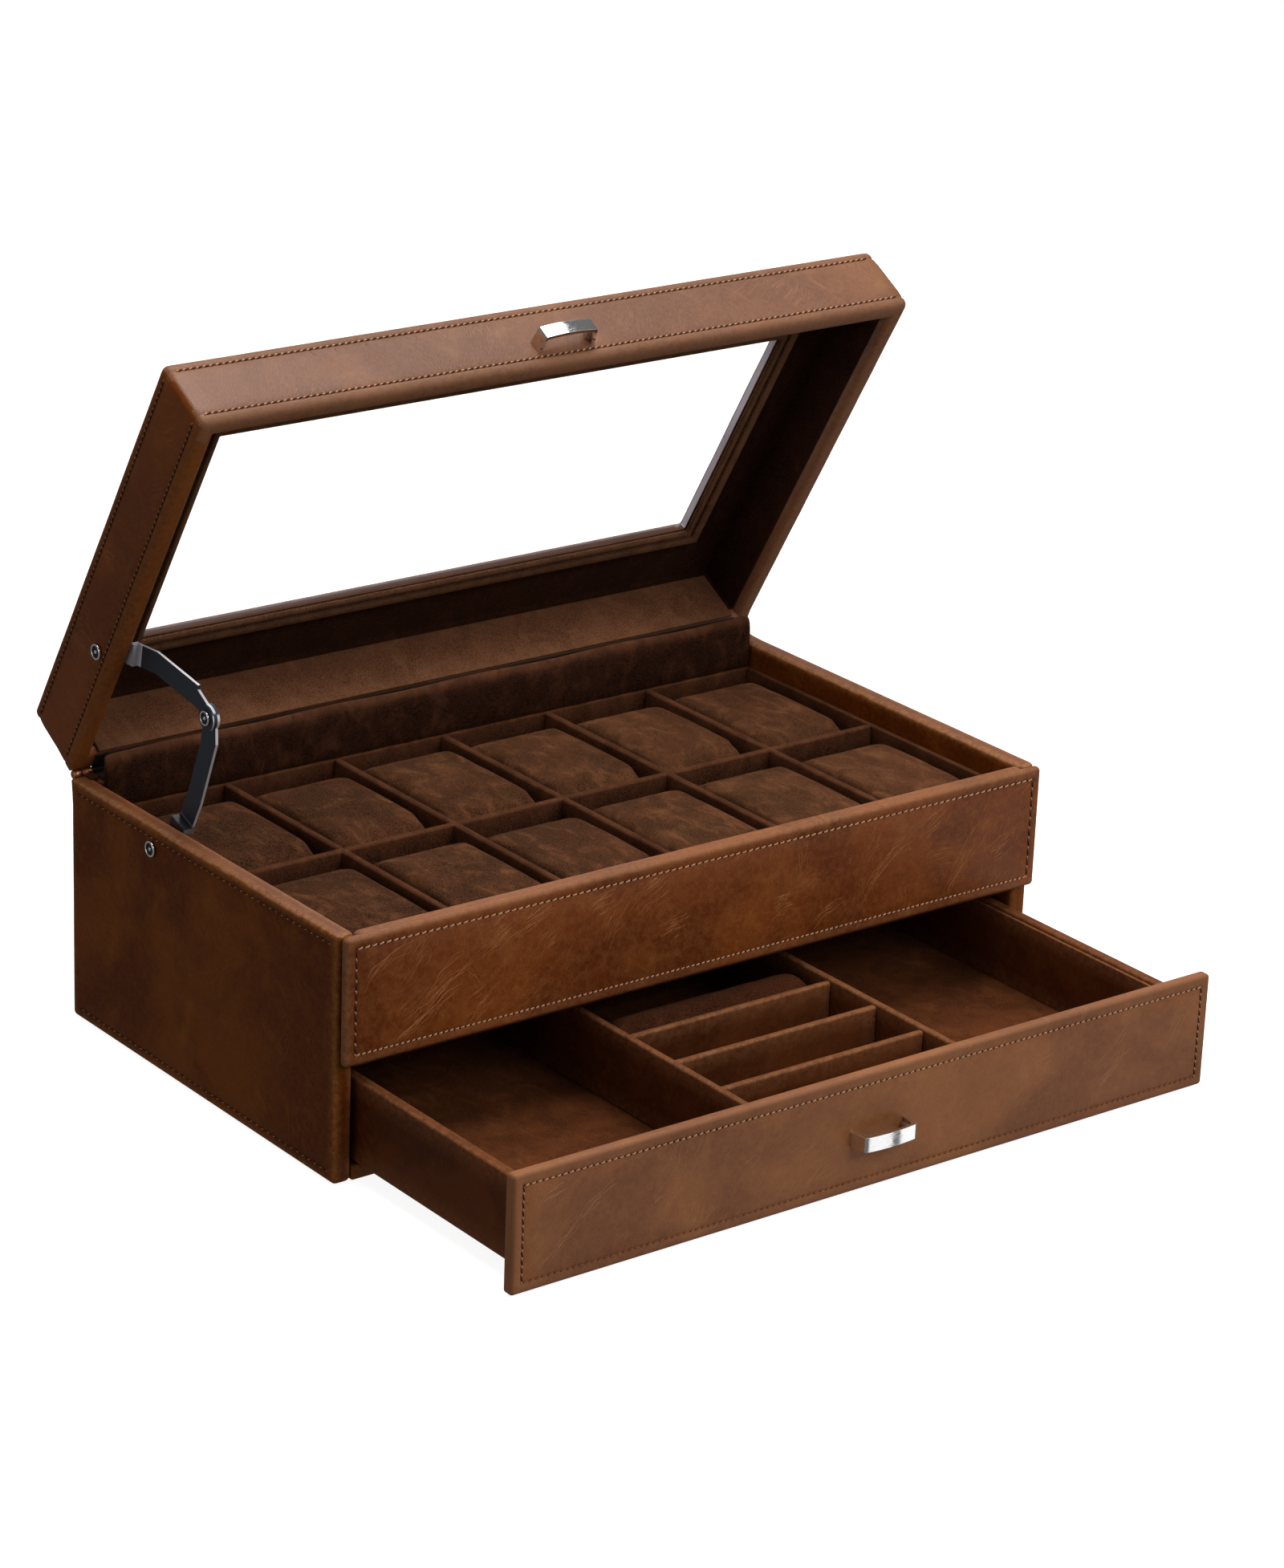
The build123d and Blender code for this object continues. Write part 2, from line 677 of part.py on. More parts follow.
# Drawer, measured from the front of the case on a plane that travels with it
drawer_x = inner_w - drawer_side_gap
drawer_in = drawer_x - drawer_wall_t
drawer_z = base_t + drawer_lift
drawer_top = bay_top - drawer_top_gap
drawer_floor_z = drawer_z + drawer_floor_t
drawer_back_y = drawer_len - drawer_wall_t
lining_top = drawer_top - drawer_lining_drop
bin_x = bin_divider_x
with BuildPart() as drawer_front:
    board(
        drawer_plane,
        (-half_w + front_inset, half_w - front_inset),
        (-front_t, 0),
        (panel_gap, band_z - panel_gap),
    )
    fillet(drawer_front.faces().sort_by(Axis.Y)[0].edges(), soft_edge_r)
    for x in (-lid_pull_x, lid_pull_x):
        bar_y(drawer_plane, (-front_t, 0), (x, drawer_pull_z), pull_screw_r, Mode.SUBTRACT)

with BuildPart() as drawer_side_left:
    board(drawer_plane, (-drawer_x, -drawer_in), (0, drawer_len), (drawer_z, drawer_top))

with BuildPart() as drawer_side_right:
    board(drawer_plane, (drawer_in, drawer_x), (0, drawer_len), (drawer_z, drawer_top))

with BuildPart() as drawer_back:
    board(drawer_plane, (-drawer_in, drawer_in), (drawer_back_y, drawer_len), (drawer_z, drawer_top))

with BuildPart() as drawer_floor:
    board(drawer_plane, (-drawer_in, drawer_in), (0, drawer_back_y), (drawer_z, drawer_floor_z))

with BuildPart() as drawer_lining_left:
    board(
        drawer_plane,
        (-drawer_in, -drawer_in + drawer_lining_t),
        (0, drawer_back_y),
        (drawer_floor_z, lining_top),
    )

with BuildPart() as drawer_lining_right:
    board(
        drawer_plane,
        (drawer_in - drawer_lining_t, drawer_in),
        (0, drawer_back_y),
        (drawer_floor_z, lining_top),
    )

with BuildPart() as drawer_divider_left:
    board(
        drawer_plane,
        (-bin_x - divider_t / 2, -bin_x + divider_t / 2),
        (0, drawer_back_y),
        (drawer_floor_z, drawer_top),
    )

with BuildPart() as drawer_divider_right:
    board(
        drawer_plane,
        (bin_x - divider_t / 2, bin_x + divider_t / 2),
        (0, drawer_back_y),
        (drawer_floor_z, drawer_top),
    )

slot_x = bin_x - divider_t / 2
slot_y = [(k + 1) * slot_pitch for k in range(slot_count)]
with BuildPart() as drawer_cross_dividers:
    with BuildSketch(drawer_plane.offset(drawer_floor_z)):
        with Locations(*[(0, y) for y in slot_y]):
            Rectangle(2 * slot_x, divider_t)
    extrude(amount=drawer_top - slot_drop - drawer_floor_z)

# The ring roll lies behind the last cross divider, round on top and drawn in at both ends.
roll_y = slot_y[-1] + divider_t / 2 + roll_gap + roll_d / 2
roll_half = slot_x - roll_gap
roll_stations = [
    (-roll_half, roll_end_draw),
    (-roll_half + roll_end_len / 3, roll_end_draw / 3),
    (-roll_half + roll_end_len, 0),
    (roll_half - roll_end_len, 0),
    (roll_half - roll_end_len / 3, roll_end_draw / 3),
    (roll_half, roll_end_draw),
]
with BuildPart() as ring_roll:
    roll_sections = []
    for station, draw in roll_stations:
        half = roll_d / 2 - draw
        crest = drawer_top - roll_drop - draw
        shoulder = crest - half * roll_round_share
        with BuildSketch(side_plane(drawer_plane, station), mode=Mode.PRIVATE) as roll_section:
            with BuildLine():
                Line((roll_y - half, drawer_floor_z), (roll_y + half, drawer_floor_z))
                Line((roll_y + half, drawer_floor_z), (roll_y + half, shoulder))
                ThreePointArc((roll_y + half, shoulder), (roll_y, crest), (roll_y - half, shoulder))
                Line((roll_y - half, shoulder), (roll_y - half, drawer_floor_z))
            make_face()
        roll_sections.append(roll_section.sketch)
    loft(roll_sections, ruled=True)

with BuildPart() as drawer_handle:
    pull_handle(drawer_plane, -front_t, drawer_pull_z)

with BuildPart() as drawer_handle_screws:
    pull_screws(drawer_plane, -front_t, front_t, drawer_pull_z)

pieces = {
    "side_panel_left": side_panel_left.part,
    "side_panel_right": side_panel_right.part,
    "back_panel": back_panel.part,
    "bottom_panel": bottom_panel.part,
    "deck_panel": deck_panel.part,
    "front_rail": front_rail.part,
    "front_band": front_band.part,
    "tray_floor": tray_floor_board.part,
    "tray_wall_left": tray_wall_left.part,
    "tray_wall_right": tray_wall_right.part,
    "tray_wall_front": tray_wall_front.part,
    "tray_wall_back": tray_wall_back.part,
    "tray_long_divider": tray_long_divider.part,
    "tray_cross_dividers": tray_cross_dividers.part,
    "hinge_leaf_case": hinge_leaf_case.part,
    "hinge_leaf_lid": hinge_leaf_lid.part,
    "hinge_pin": hinge_pin.part,
    "hinge_cover": hinge_cover.part,
    "lid_side_left": lid_side_left.part,
    "lid_side_right": lid_side_right.part,
    "lid_front": lid_front_board.part,
    "lid_back": lid_back_board.part,
    "lid_top_frame": lid_top_frame.part,
    "lid_glass": lid_glass.part,
    "window_moulding": window_moulding.part,
    "lid_back_lining": lid_back_lining.part,
    "lid_handle": lid_handle.part,
    "lid_handle_screws": lid_handle_screws.part,
    "stay_link_upper": stay_link_upper.part,
    "stay_link_lower": stay_link_lower.part,
    "stay_rivet_case": stay_rivet_case.part,
    "stay_rivet_lid": stay_rivet_lid.part,
    "stay_rivet_middle": stay_rivet_middle.part,
    "stay_washer": stay_washer.part,
    "drawer_front": drawer_front.part,
    "drawer_side_left": drawer_side_left.part,
    "drawer_side_right": drawer_side_right.part,
    "drawer_back": drawer_back.part,
    "drawer_floor": drawer_floor.part,
    "drawer_lining_left": drawer_lining_left.part,
    "drawer_lining_right": drawer_lining_right.part,
    "drawer_divider_left": drawer_divider_left.part,
    "drawer_divider_right": drawer_divider_right.part,
    "drawer_cross_dividers": drawer_cross_dividers.part,
    "ring_roll": ring_roll.part,
    "drawer_handle": drawer_handle.part,
    "drawer_handle_screws": drawer_handle_screws.part,
}
pieces.update(pillow_parts)

os.makedirs("parts", exist_ok=True)
for name, solid in pieces.items():
    solid.label = name
    export_step(solid, f"parts/{name}.step")

print("hinge at", hinge_y, hinge_z)
print("lid pivot", lid_pivot_point.Y, lid_pivot_point.Z)
print("case pivot", case_pivot_point.Y, case_pivot_point.Z)
print("middle pivot", middle_point.Y, middle_point.Z)
print("pillow", pillow_w, pillow_l, pillow_foot, pillow_top)
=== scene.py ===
from math import cos, pi, radians, sin, tan

import bmesh
import bpy
import numpy as np
from mathutils import Matrix, Vector


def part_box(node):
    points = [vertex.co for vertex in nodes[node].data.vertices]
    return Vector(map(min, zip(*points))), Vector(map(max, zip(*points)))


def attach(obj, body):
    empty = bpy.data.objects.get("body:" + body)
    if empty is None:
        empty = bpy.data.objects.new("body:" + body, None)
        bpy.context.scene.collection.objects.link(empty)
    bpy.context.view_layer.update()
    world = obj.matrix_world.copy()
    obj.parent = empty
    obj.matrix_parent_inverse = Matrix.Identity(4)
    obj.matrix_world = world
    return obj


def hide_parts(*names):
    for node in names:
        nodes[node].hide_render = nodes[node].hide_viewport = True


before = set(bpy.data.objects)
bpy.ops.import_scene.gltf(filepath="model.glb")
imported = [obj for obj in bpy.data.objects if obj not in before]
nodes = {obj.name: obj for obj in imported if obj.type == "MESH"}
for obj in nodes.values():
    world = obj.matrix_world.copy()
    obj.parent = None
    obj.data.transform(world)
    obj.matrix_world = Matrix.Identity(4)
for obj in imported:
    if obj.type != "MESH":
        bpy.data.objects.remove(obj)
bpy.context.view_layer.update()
scene = bpy.context.scene

# Lengths are written in millimetres and scaled as each mesh is made.
MM = 0.001


def placed(name, data):
    """An object of the scene that holds the given mesh, camera or light."""
    holder = bpy.data.objects.new(name, data)
    scene.collection.objects.link(holder)
    return holder


# ---- camera: solved from the corners of the box in the photograph
CAMERA_AT = Vector((-1.027115, -1.370805, 0.749274))
CAMERA_RIGHT = Vector((0.796836, -0.603125, 0.035961))
CAMERA_UP = Vector((0.189101, 0.305480, 0.933232))
CAMERA_LENS = 108.42

camera_data = bpy.data.cameras.new("camera")
camera_data.lens = CAMERA_LENS
camera_data.clip_end = 20
camera = placed("camera", camera_data)
back = CAMERA_RIGHT.cross(CAMERA_UP)
turn = Matrix((CAMERA_RIGHT, CAMERA_UP, back)).transposed().to_4x4()
camera.matrix_world = Matrix.Translation(CAMERA_AT) @ turn
scene.camera = camera

# ---- places that the pieces share, in millimetres
HINGE = (0.0, 93.0, 98.75)
LID_TILT = radians(60.0)
WORLD = Matrix.Identity(4)
LID = Matrix.Translation(HINGE) @ Matrix.Rotation(-LID_TILT, 4, "X")
DRAWER = Matrix.Translation((0.0, -193.5, 0.0))
PLACES = {"case": WORLD, "lid": LID, "drawer": DRAWER}
BOTH_SIDES = ((-1, "left"), (1, "right"))
WELD_WITHIN = 2e-6


# ---- mesh making
def new_mesh(name, verts, faces, matrix=WORLD, edge=None):
    """A smooth mesh object from millimetre points, moved by matrix and scaled to metres."""
    points = np.asarray(verts, float) @ np.array(matrix.to_3x3()).T + np.array(matrix.translation)
    mesh = bpy.data.meshes.new(name)
    mesh.from_pydata((points * MM).tolist(), [], [list(map(int, f)) for f in faces])
    if edge is not None:
        layer = mesh.attributes.new("edge", "FLOAT", "POINT")
        layer.data.foreach_set("value", np.asarray(edge, np.float32))
    mesh.update()
    mesh.polygons.foreach_set("use_smooth", [True] * len(mesh.polygons))
    return placed(name, mesh)


def weld(piece, turn_out=False):
    """Joins points that coincide, and turns the faces outward where that is asked."""
    work = bmesh.new()
    work.from_mesh(piece.data)
    bmesh.ops.remove_doubles(work, verts=work.verts, dist=WELD_WITHIN)
    if turn_out:
        bmesh.ops.recalc_face_normals(work, faces=work.faces)
    work.to_mesh(piece.data)
    work.free()
    return piece


def points_of(mesh):
    return np.array([v.co for v in mesh.vertices])


def set_points(mesh, points):
    mesh.vertices.foreach_set("co", points.ravel())
    mesh.update()


def tube_faces(rings, sides, base=0, flip=False):
    """The faces between rings of points, and one at each end; base is the first point's number."""
    faces = []
    for k in range(rings - 1):
        a, b = base + k * sides, base + (k + 1) * sides
        for s in range(sides):
            t = (s + 1) % sides
            faces.append((a + s, b + s, b + t, a + t) if flip else (a + s, a + t, b + t, b + s))
    ends = [[base + k * sides + s for s in range(sides)] for k in (0, rings - 1)]
    ends[flip].reverse()
    return faces + ends


def wobble(points, size):
    """A slow unevenness of leather over board, the same wherever it is asked."""
    x, y, z = points[..., 0], points[..., 1], points[..., 2]
    waves = np.sin(x * 0.071 + 1.3) * np.sin(z * 0.13 + y * 0.11 + 0.4)
    waves += 0.6 * np.sin(x * 0.19 + y * 0.23 + 2.1) * np.sin(z * 0.29 + 0.9)
    waves += 0.35 * np.sin(x * 0.43 + z * 0.37 + y * 0.41)
    return size * waves


STITCH_IN = 4.4
GROOVE_DEPTH, GROOVE_WIDTH = 0.32, 0.6
GROOVE_LINES = (-1.6, -0.8, 0, 0.8, 1.6)
# a board's unevenness and the crown of a sewn front, and how far in from the edges they are reached
UNEVEN, CROWN = 0.1, 0.15
UNEVEN_IN, CROWN_IN = 6, 8


def grid_lines(lo, hi, near, step):
    """Positions from lo to hi: the given distances from each end, then even steps between."""
    near = [d for d in near if d < (hi - lo) / 2 - 0.05]
    low, high = [lo + d for d in near], [hi - d for d in reversed(near)]
    count = max(1, round((high[0] - low[-1]) / step))
    middle = [low[-1] + (high[0] - low[-1]) * k / count for k in range(1, count)]
    return np.array(low + middle + high)


def board(name, lo, hi, r, body="case", rows=(), step=6.0, uneven=UNEVEN, crown=0.0):
    """A board wrapped in leather or suede: rounded edges, sewn grooves and a slight unevenness.

    Each row is (axis and sign of its face, axis and sign of the edge that it runs along).
    """
    lo, hi = np.array(lo, float), np.array(hi, float)
    r = min(r, (hi - lo).min() / 2 * 0.96)
    near = [r * (1 - tan(radians(a))) for a in (45, 30, 15, 0)]
    if rows:
        near += [STITCH_IN + GROOVE_WIDTH * k for k in GROOVE_LINES]
    near.sort()
    lines = [grid_lines(lo[k], hi[k], near, step) for k in range(3)]
    verts, faces, edges, base = [], [], [], 0
    for axis in range(3):
        a, b = (axis + 1) % 3, (axis + 2) % 3
        across, along = np.meshgrid(lines[a], lines[b], indexing="ij")
        for sign in (-1, 1):
            p = np.empty(across.shape + (3,))
            p[..., a], p[..., b] = across, along
            p[..., axis] = hi[axis] if sign > 0 else lo[axis]
            core = np.clip(p, lo + r, hi - r)
            out = p - core
            out /= np.linalg.norm(out, axis=-1, keepdims=True)
            to_edge = np.minimum(
                np.minimum(p[..., a] - lo[a], hi[a] - p[..., a]),
                np.minimum(p[..., b] - lo[b], hi[b] - p[..., b]),
            )
            lift = wobble(p, uneven) * np.clip(to_edge / UNEVEN_IN, 0.0, 1)
            lift += crown * (1 - np.exp(-to_edge / CROWN_IN))
            for row_axis, row_sign, edge_axis, edge_sign in rows:
                if (row_axis, row_sign) != (axis, sign):
                    continue
                run = 3 - axis - edge_axis
                end = hi[edge_axis] if edge_sign > 0 else lo[edge_axis]
                away = np.abs(p[..., edge_axis] - end) - STITCH_IN
                ends = np.minimum(p[..., run] - lo[run], hi[run] - p[..., run])
                fade = np.clip((ends - STITCH_IN + 0.8) / 1.0, 0, 1)
                lift -= GROOVE_DEPTH * np.exp(-((away / GROOVE_WIDTH) ** 2)) * fade
            q = core + out * r + out * lift[..., None]
            index = base + np.arange(across.size).reshape(across.shape)
            quad = np.stack([index[:-1, :-1], index[1:, :-1], index[1:, 1:], index[:-1, 1:]], -1)
            quad = quad.reshape(-1, 4)
            faces.append(quad if sign > 0 else quad[:, ::-1])
            verts.append(q.reshape(-1, 3))
            edges.append(np.exp(-((to_edge / (0.9 * r + 0.4)) ** 2)).ravel())
            base += across.size
    verts, faces, edges = (np.concatenate(parts) for parts in (verts, faces, edges))
    return weld(new_mesh(name, verts, faces, PLACES[body], edge=edges))


# A stitch seen from the side: rises out of one hole, lies along the groove and dips again.
STITCH_SIDES = 6
STITCH_SPINE = ((-0.5, -0.35), (-0.42, 0.1), (-0.18, 0.27), (0.18, 0.27), (0.42, 0.1), (0.5, -0.35))
STITCH_SLANT = radians(14)


def stitches(runs, pitch, length, radius, shift):
    """Points and faces of every stitch along the runs: (start, end, out) in millimetres."""
    verts, faces = [], []
    for start, end, out in runs:
        span = np.linalg.norm(end - start)
        along = (end - start) / span
        side = np.cross(out, along)
        count = max(1, round(span / pitch))
        way = along * cos(STITCH_SLANT) + side * sin(STITCH_SLANT)
        cross = np.cross(out, way)
        for k in range(count):
            centre = start + along * span * (k + shift) / count
            faces += tube_faces(len(STITCH_SPINE), STITCH_SIDES, len(verts))
            for place, lift in STITCH_SPINE:
                middle = centre + way * place * length + out * (lift - GROOVE_DEPTH * 0.7)
                for s in range(STITCH_SIDES):
                    angle = 2 * pi * s / STITCH_SIDES
                    verts.append(middle + radius * (cross * cos(angle) + out * sin(angle)))
    return verts, faces


def edge_rows(axis, sign, edge_axis):
    """The rows along both ends of edge_axis, on the face that axis and sign name."""
    return [(axis, sign, edge_axis, 1), (axis, sign, edge_axis, -1)]


def board_runs(lo, hi, rows):
    """The stitch lines of a board's rows, as (start, end, out)."""
    runs = []
    for axis, sign, edge_axis, edge_sign in rows:
        run = 3 - axis - edge_axis
        start, end, out = np.zeros(3), np.zeros(3), np.zeros(3)
        start[axis] = end[axis] = hi[axis] if sign > 0 else lo[axis]
        at = hi[edge_axis] - STITCH_IN if edge_sign > 0 else lo[edge_axis] + STITCH_IN
        start[edge_axis] = end[edge_axis] = at
        start[run], end[run] = lo[run] + STITCH_IN, hi[run] - STITCH_IN
        out[axis] = sign
        runs.append((start, end, out))
    return runs


CORNER_STEPS = 5


def ring_loop(rect, radius, z, counts):
    """One loop round a rounded rectangle, anticlockwise seen from above."""
    x0, x1, y0, y1 = rect
    radius = max(radius, 0.2)
    arcs, points = [], []
    for cx, cy, sx, sy, first in (
        (x1, y1, -1, -1, 0), (x0, y1, 1, -1, 90), (x0, y0, 1, 1, 180), (x1, y0, -1, 1, 270)
    ):
        angles = np.radians(first + 90 * np.arange(CORNER_STEPS + 1) / CORNER_STEPS)
        arc_x = cx + sx * radius + radius * np.cos(angles)
        arc_y = cy + sy * radius + radius * np.sin(angles)
        arcs.append(np.stack([arc_x, arc_y], -1))
    for k, arc in enumerate(arcs):
        share = (np.arange(1, counts[k % 2]) / counts[k % 2])[:, None]
        points += [arc, arc[-1] * (1 - share) + arcs[(k + 1) % 4][0] * share]
    flat = np.concatenate(points)
    return np.column_stack([flat, np.full(len(flat), z)])


def ring(name, loops, counts):
    """A closed band of loops on the lid: each is (rectangle, corner radius, z, edge value); the edge value
    marks rubbed edges, and on the moulding's bead crowns a painted highlight.
    """
    rows = [ring_loop(rect, radius, z, counts) for rect, radius, z, _ in loops]
    return ring_of(name, rows, [wear_and_light for *_, wear_and_light in loops])


def ring_of(name, rows, wears, uneven=0.0):
    """Joins loops of points into a closed band on the lid."""
    length = len(rows[0])
    verts = np.concatenate(rows)
    verts[:, 2] += wobble(verts, uneven)
    index = np.arange(len(rows) * length).reshape(len(rows), length)
    nxt = np.roll(index, -1, 0)
    faces = np.stack([index, np.roll(index, -1, 1), np.roll(nxt, -1, 1), nxt], -1).reshape(-1, 4)
    return weld(new_mesh(name, verts, faces, LID, edge=np.repeat(wears, length)), turn_out=True)


# the share of a corner's rounding that tighten() takes away
TIGHTEN = 0.75


def tighten(x, y, z, back, level, reach, up):
    """Draws in the rounding of the corner where the side, back and level planes meet."""
    from_side, from_back, from_level = HALF_W - np.abs(x), back - y, (level - z) * up
    share = TIGHTEN * np.clip((reach + 6 - from_back) / 8, 0, 1) * np.clip((reach + 6 - from_level) / 8, 0, 1)
    x = np.where(from_side < reach, np.sign(x) * (HALF_W - from_side * (1 - share)), x)
    y = np.where(from_back < reach, back - from_back * (1 - share), y)
    z = np.where(from_level < reach, level - up * from_level * (1 - share), z)
    return x, y, z


def grow(rect, by):
    return (rect[0] - by, rect[1] + by, rect[2] - by, rect[3] + by)


def between(one, other, share):
    return tuple(a * (1 - share) + b * share for a, b in zip(one, other))


# ---- materials
def rgb(red, green, blue):
    """A colour given as it is seen, 0 to 255, turned into the linear values that shaders use."""
    linear = []
    for value in (red, green, blue):
        value /= 255
        linear.append(value / 12.92 if value <= 0.04045 else ((value + 0.055) / 1.055) ** 2.4)
    return (*linear, 1.0)


def darker(colour, by):
    return (*(c * by for c in colour[:3]), 1.0)


class Paint:
    """A small wrapper round one material's node tree."""

    def __init__(self, name):
        self.material = bpy.data.materials.new(name)
        self.material.use_nodes = True
        self.tree = self.material.node_tree
        self.shader = self.tree.nodes["Principled BSDF"]

    def add(self, kind, inputs=None, **settings):
        node = self.tree.nodes.new("ShaderNode" + kind)
        for key, value in settings.items():
            setattr(node, key, value)
        for key, value in (inputs or {}).items():
            self.put(node.inputs[key], value)
        return node

    def put(self, socket, value):
        if isinstance(value, bpy.types.NodeSocket):
            self.tree.links.new(value, socket)
        else:
            socket.default_value = value

    def set(self, **values):
        """Sets the shader's own sockets."""
        for key, value in values.items():
            self.put(self.shader.inputs[key.replace("_", " ")], value)

    def place(self):
        return self.add("TexCoord").outputs["Object"]

    def wear_and_light(self):
        return self.add("Attribute", attribute_name="edge").outputs["Fac"]

    def split(self, vector):
        return self.add("SeparateXYZ", {"Vector": vector}).outputs

    def facing_x(self):
        """How far the surface faces left or right, which a turn about X leaves as it is."""
        return self.absolute(self.split(self.add("NewGeometry").outputs["Normal"])[0])

    def math(self, operation, a, b=0.0):
        return self.add("Math", {0: a, 1: b}, operation=operation).outputs[0]

    def times(self, a, b):
        return self.math("MULTIPLY", a, b)

    def absolute(self, a):
        return self.math("ABSOLUTE", a)

    def vector(self, operation, a, b):
        node = self.add("VectorMath", {0: a, 1: b}, operation=operation)
        return node.outputs["Value" if operation == "DOT_PRODUCT" else "Vector"]

    def rotate(self, vector, angle, axis, centre=(0, 0, 0)):
        inputs = {"Vector": vector, "Center": centre, "Angle": angle}
        return self.add("VectorRotate", inputs, rotation_type=f"{axis}_AXIS").outputs[0]

    def noise(self, vector, scale, detail=3.0, rough=0.5, distort=0.0):
        inputs = {"Vector": vector, "Scale": scale, "Detail": detail, "Roughness": rough}
        return self.add("TexNoise", {**inputs, "Distortion": distort}).outputs[0]

    def span(self, value, low, high, to_low=0.0, to_high=1.0):
        """Eases value from to_low at low to to_high at high."""
        inputs = {"Value": value, "From Min": low, "From Max": high, "To Min": to_low, "To Max": to_high}
        return self.add("MapRange", inputs, interpolation_type="SMOOTHSTEP").outputs[0]

    def mix(self, share, one, other):
        return self.add("Mix", {0: share, 6: one, 7: other}, data_type="RGBA").outputs[2]

    def tint(self, colour, share, amount, other):
        return self.mix(self.times(share, amount), colour, other)

    def bump(self, height, distance, strength):
        inputs = {"Strength": strength, "Distance": distance, "Height": height}
        return self.add("Bump", inputs).outputs[0]


def leather(name, base, dark, light, worn, tilt=0.0, creases=1.0, gloss=0.42, shine=0.3, pebble=0.35):
    """Pull-up leather: cloudy colour, faint creases, fine grain that shows in patches, and worn edges."""
    p = Paint(name)
    base, dark, light, worn = (rgb(*colour) for colour in (base, dark, light, worn))
    place = p.place()
    if tilt:
        place = p.rotate(place, tilt, "X")
    clouds = p.noise(place, 16, 4, 0.55, 0.8)
    blots = p.noise(place, 48, 5, 0.6, 0.6)
    fine = p.noise(place, 420, 4, 0.6)
    pores = p.noise(place, 1250, 3, 0.7)
    colour = p.mix(p.span(clouds, 0.38, 0.66), dark, base)
    colour = p.tint(colour, p.span(blots, 0.52, 0.78), 0.32, light)
    colour = p.tint(colour, p.span(blots, 0.46, 0.2), 0.35, dark)
    colour = p.tint(colour, p.span(fine, 0.3, 0.75), 0.22, light)
    # creases: thin contour lines of a stretched noise, along one slant on the front and one on the sides
    parts = p.split(place)
    sideways = p.math("GREATER_THAN", p.facing_x(), 0.7)
    across = p.add("Mix", {0: sideways, 2: parts[0], 3: parts[1]}, data_type="FLOAT").outputs[0]
    slanted = p.add("CombineXYZ", {"X": across, "Y": parts[2], "Z": sideways}).outputs[0]
    bend = p.noise(slanted, 22, 2)
    push = p.add("CombineXYZ", {"X": p.times(bend, 0.03), "Y": p.times(bend, -0.02)}).outputs[0]
    bent = p.vector("ADD", slanted, push)
    lines = []
    for angle, stretch, scale, width in ((38, 0.085, 760, 0.04), (62, 0.12, 560, 0.03)):
        stretched = p.vector("MULTIPLY", p.rotate(bent, radians(-angle), "Z"), (stretch, 1.0, 1.0))
        field = p.noise(stretched, scale, 1.5, 0.45)
        lines.append(p.span(p.absolute(p.math("SUBTRACT", field, 0.5)), width, 0.0))
    patches = p.noise(slanted, 30, 2, 0.5, 0.4)
    first = p.times(lines[0], p.span(patches, 0.53, 0.66))
    second = p.times(lines[1], p.span(patches, 0.46, 0.34))
    marks = p.times(p.math("MAXIMUM", first, second), 0.45 * creases)
    colour = p.tint(colour, p.span(pores, 0.55, 0.85), 0.4, light)
    colour = p.tint(colour, p.span(pores, 0.45, 0.2), 0.6, darker(dark, 0.45))
    colour = p.tint(colour, marks, 0.8, light)
    cells = p.add("TexVoronoi", {"Scale": 1150.0, "Vector": place}, feature="DISTANCE_TO_EDGE")
    cell_edge = cells.outputs["Distance"]
    worked = p.times(p.span(p.noise(place, 34, 3, 0.5, 0.5), 0.5, 0.64), pebble)
    colour = p.tint(colour, worked, p.span(cell_edge, 0.25, 0.5), worn)
    # lighter worn colour where the edge attribute is set: rubbed edges, and on the rim leather also a painted
    # highlight
    wear_and_light = p.wear_and_light()
    rubbed = p.times(wear_and_light, p.span(fine, 0.25, 0.7, 0.35, 0.9))
    colour = p.tint(colour, rubbed, p.span(pores, 0.3, 0.5, 0.5, 1.0), worn)
    height = p.math("ADD", p.times(p.span(cell_edge, 0.0, 0.28), 0.35), p.times(blots, 0.9))
    height = p.math("SUBTRACT", height, p.times(marks, 0.9))
    rough = p.math("ADD", p.span(fine, 0.2, 0.8, gloss - 0.07, gloss + 0.1), p.times(wear_and_light, 0.2))
    p.set(Base_Color=colour, Normal=p.bump(height, 0.00022, 0.55), Roughness=rough)
    p.set(Specular_IOR_Level=shine, Coat_Weight=0.04, Coat_Roughness=0.3)
    return p.material


def suede(name, dark, base, light, speckle=0.75, stroke=0.45, rub_and_painted_light=0.4):
    """Brushed suede: soft clouds where the nap lies the other way, and fine fibre speckle."""
    p = Paint(name)
    dark, base, light = (rgb(*colour) for colour in (dark, base, light))
    place = p.place()
    clouds = p.noise(place, 52, 5, 0.62, 0.9)
    turned_by = (0.2, 0.1, radians(35))
    strokes = p.add("Mapping", {"Vector": place, "Rotation": turned_by, "Scale": (120, 70, 90)})
    lightening = p.noise(strokes.outputs[0], 1.0, 4, 0.65, 0.6)
    nap = p.noise(place, 1900, 3, 0.7)
    colour = p.mix(p.span(clouds, 0.4, 0.62), dark, base)
    colour = p.tint(colour, p.span(lightening, 0.45, 0.8), stroke, light)
    colour = p.tint(colour, p.span(nap, 0.35, 0.8), speckle, light)
    colour = p.tint(colour, p.span(nap, 0.5, 0.25), speckle, dark)
    # lighter where the edge attribute is set: rubbed edges on the boards, painted light on the pillows, and
    # painted highlights on the flap's rolled top and the moulding's beads
    colour = p.tint(colour, p.wear_and_light(), p.span(lightening, 0.3, 0.7, 0.45 * rub_and_painted_light, rub_and_painted_light), light)
    height = p.math("ADD", nap, p.times(lightening, 0.5))
    p.set(Base_Color=colour, Normal=p.bump(height, 0.00028, 0.6), Roughness=0.92)
    p.set(Specular_IOR_Level=0.06, Sheen_Weight=0.1, Sheen_Roughness=0.45)
    p.set(Sheen_Tint=rgb(190, 130, 90))
    return p.material


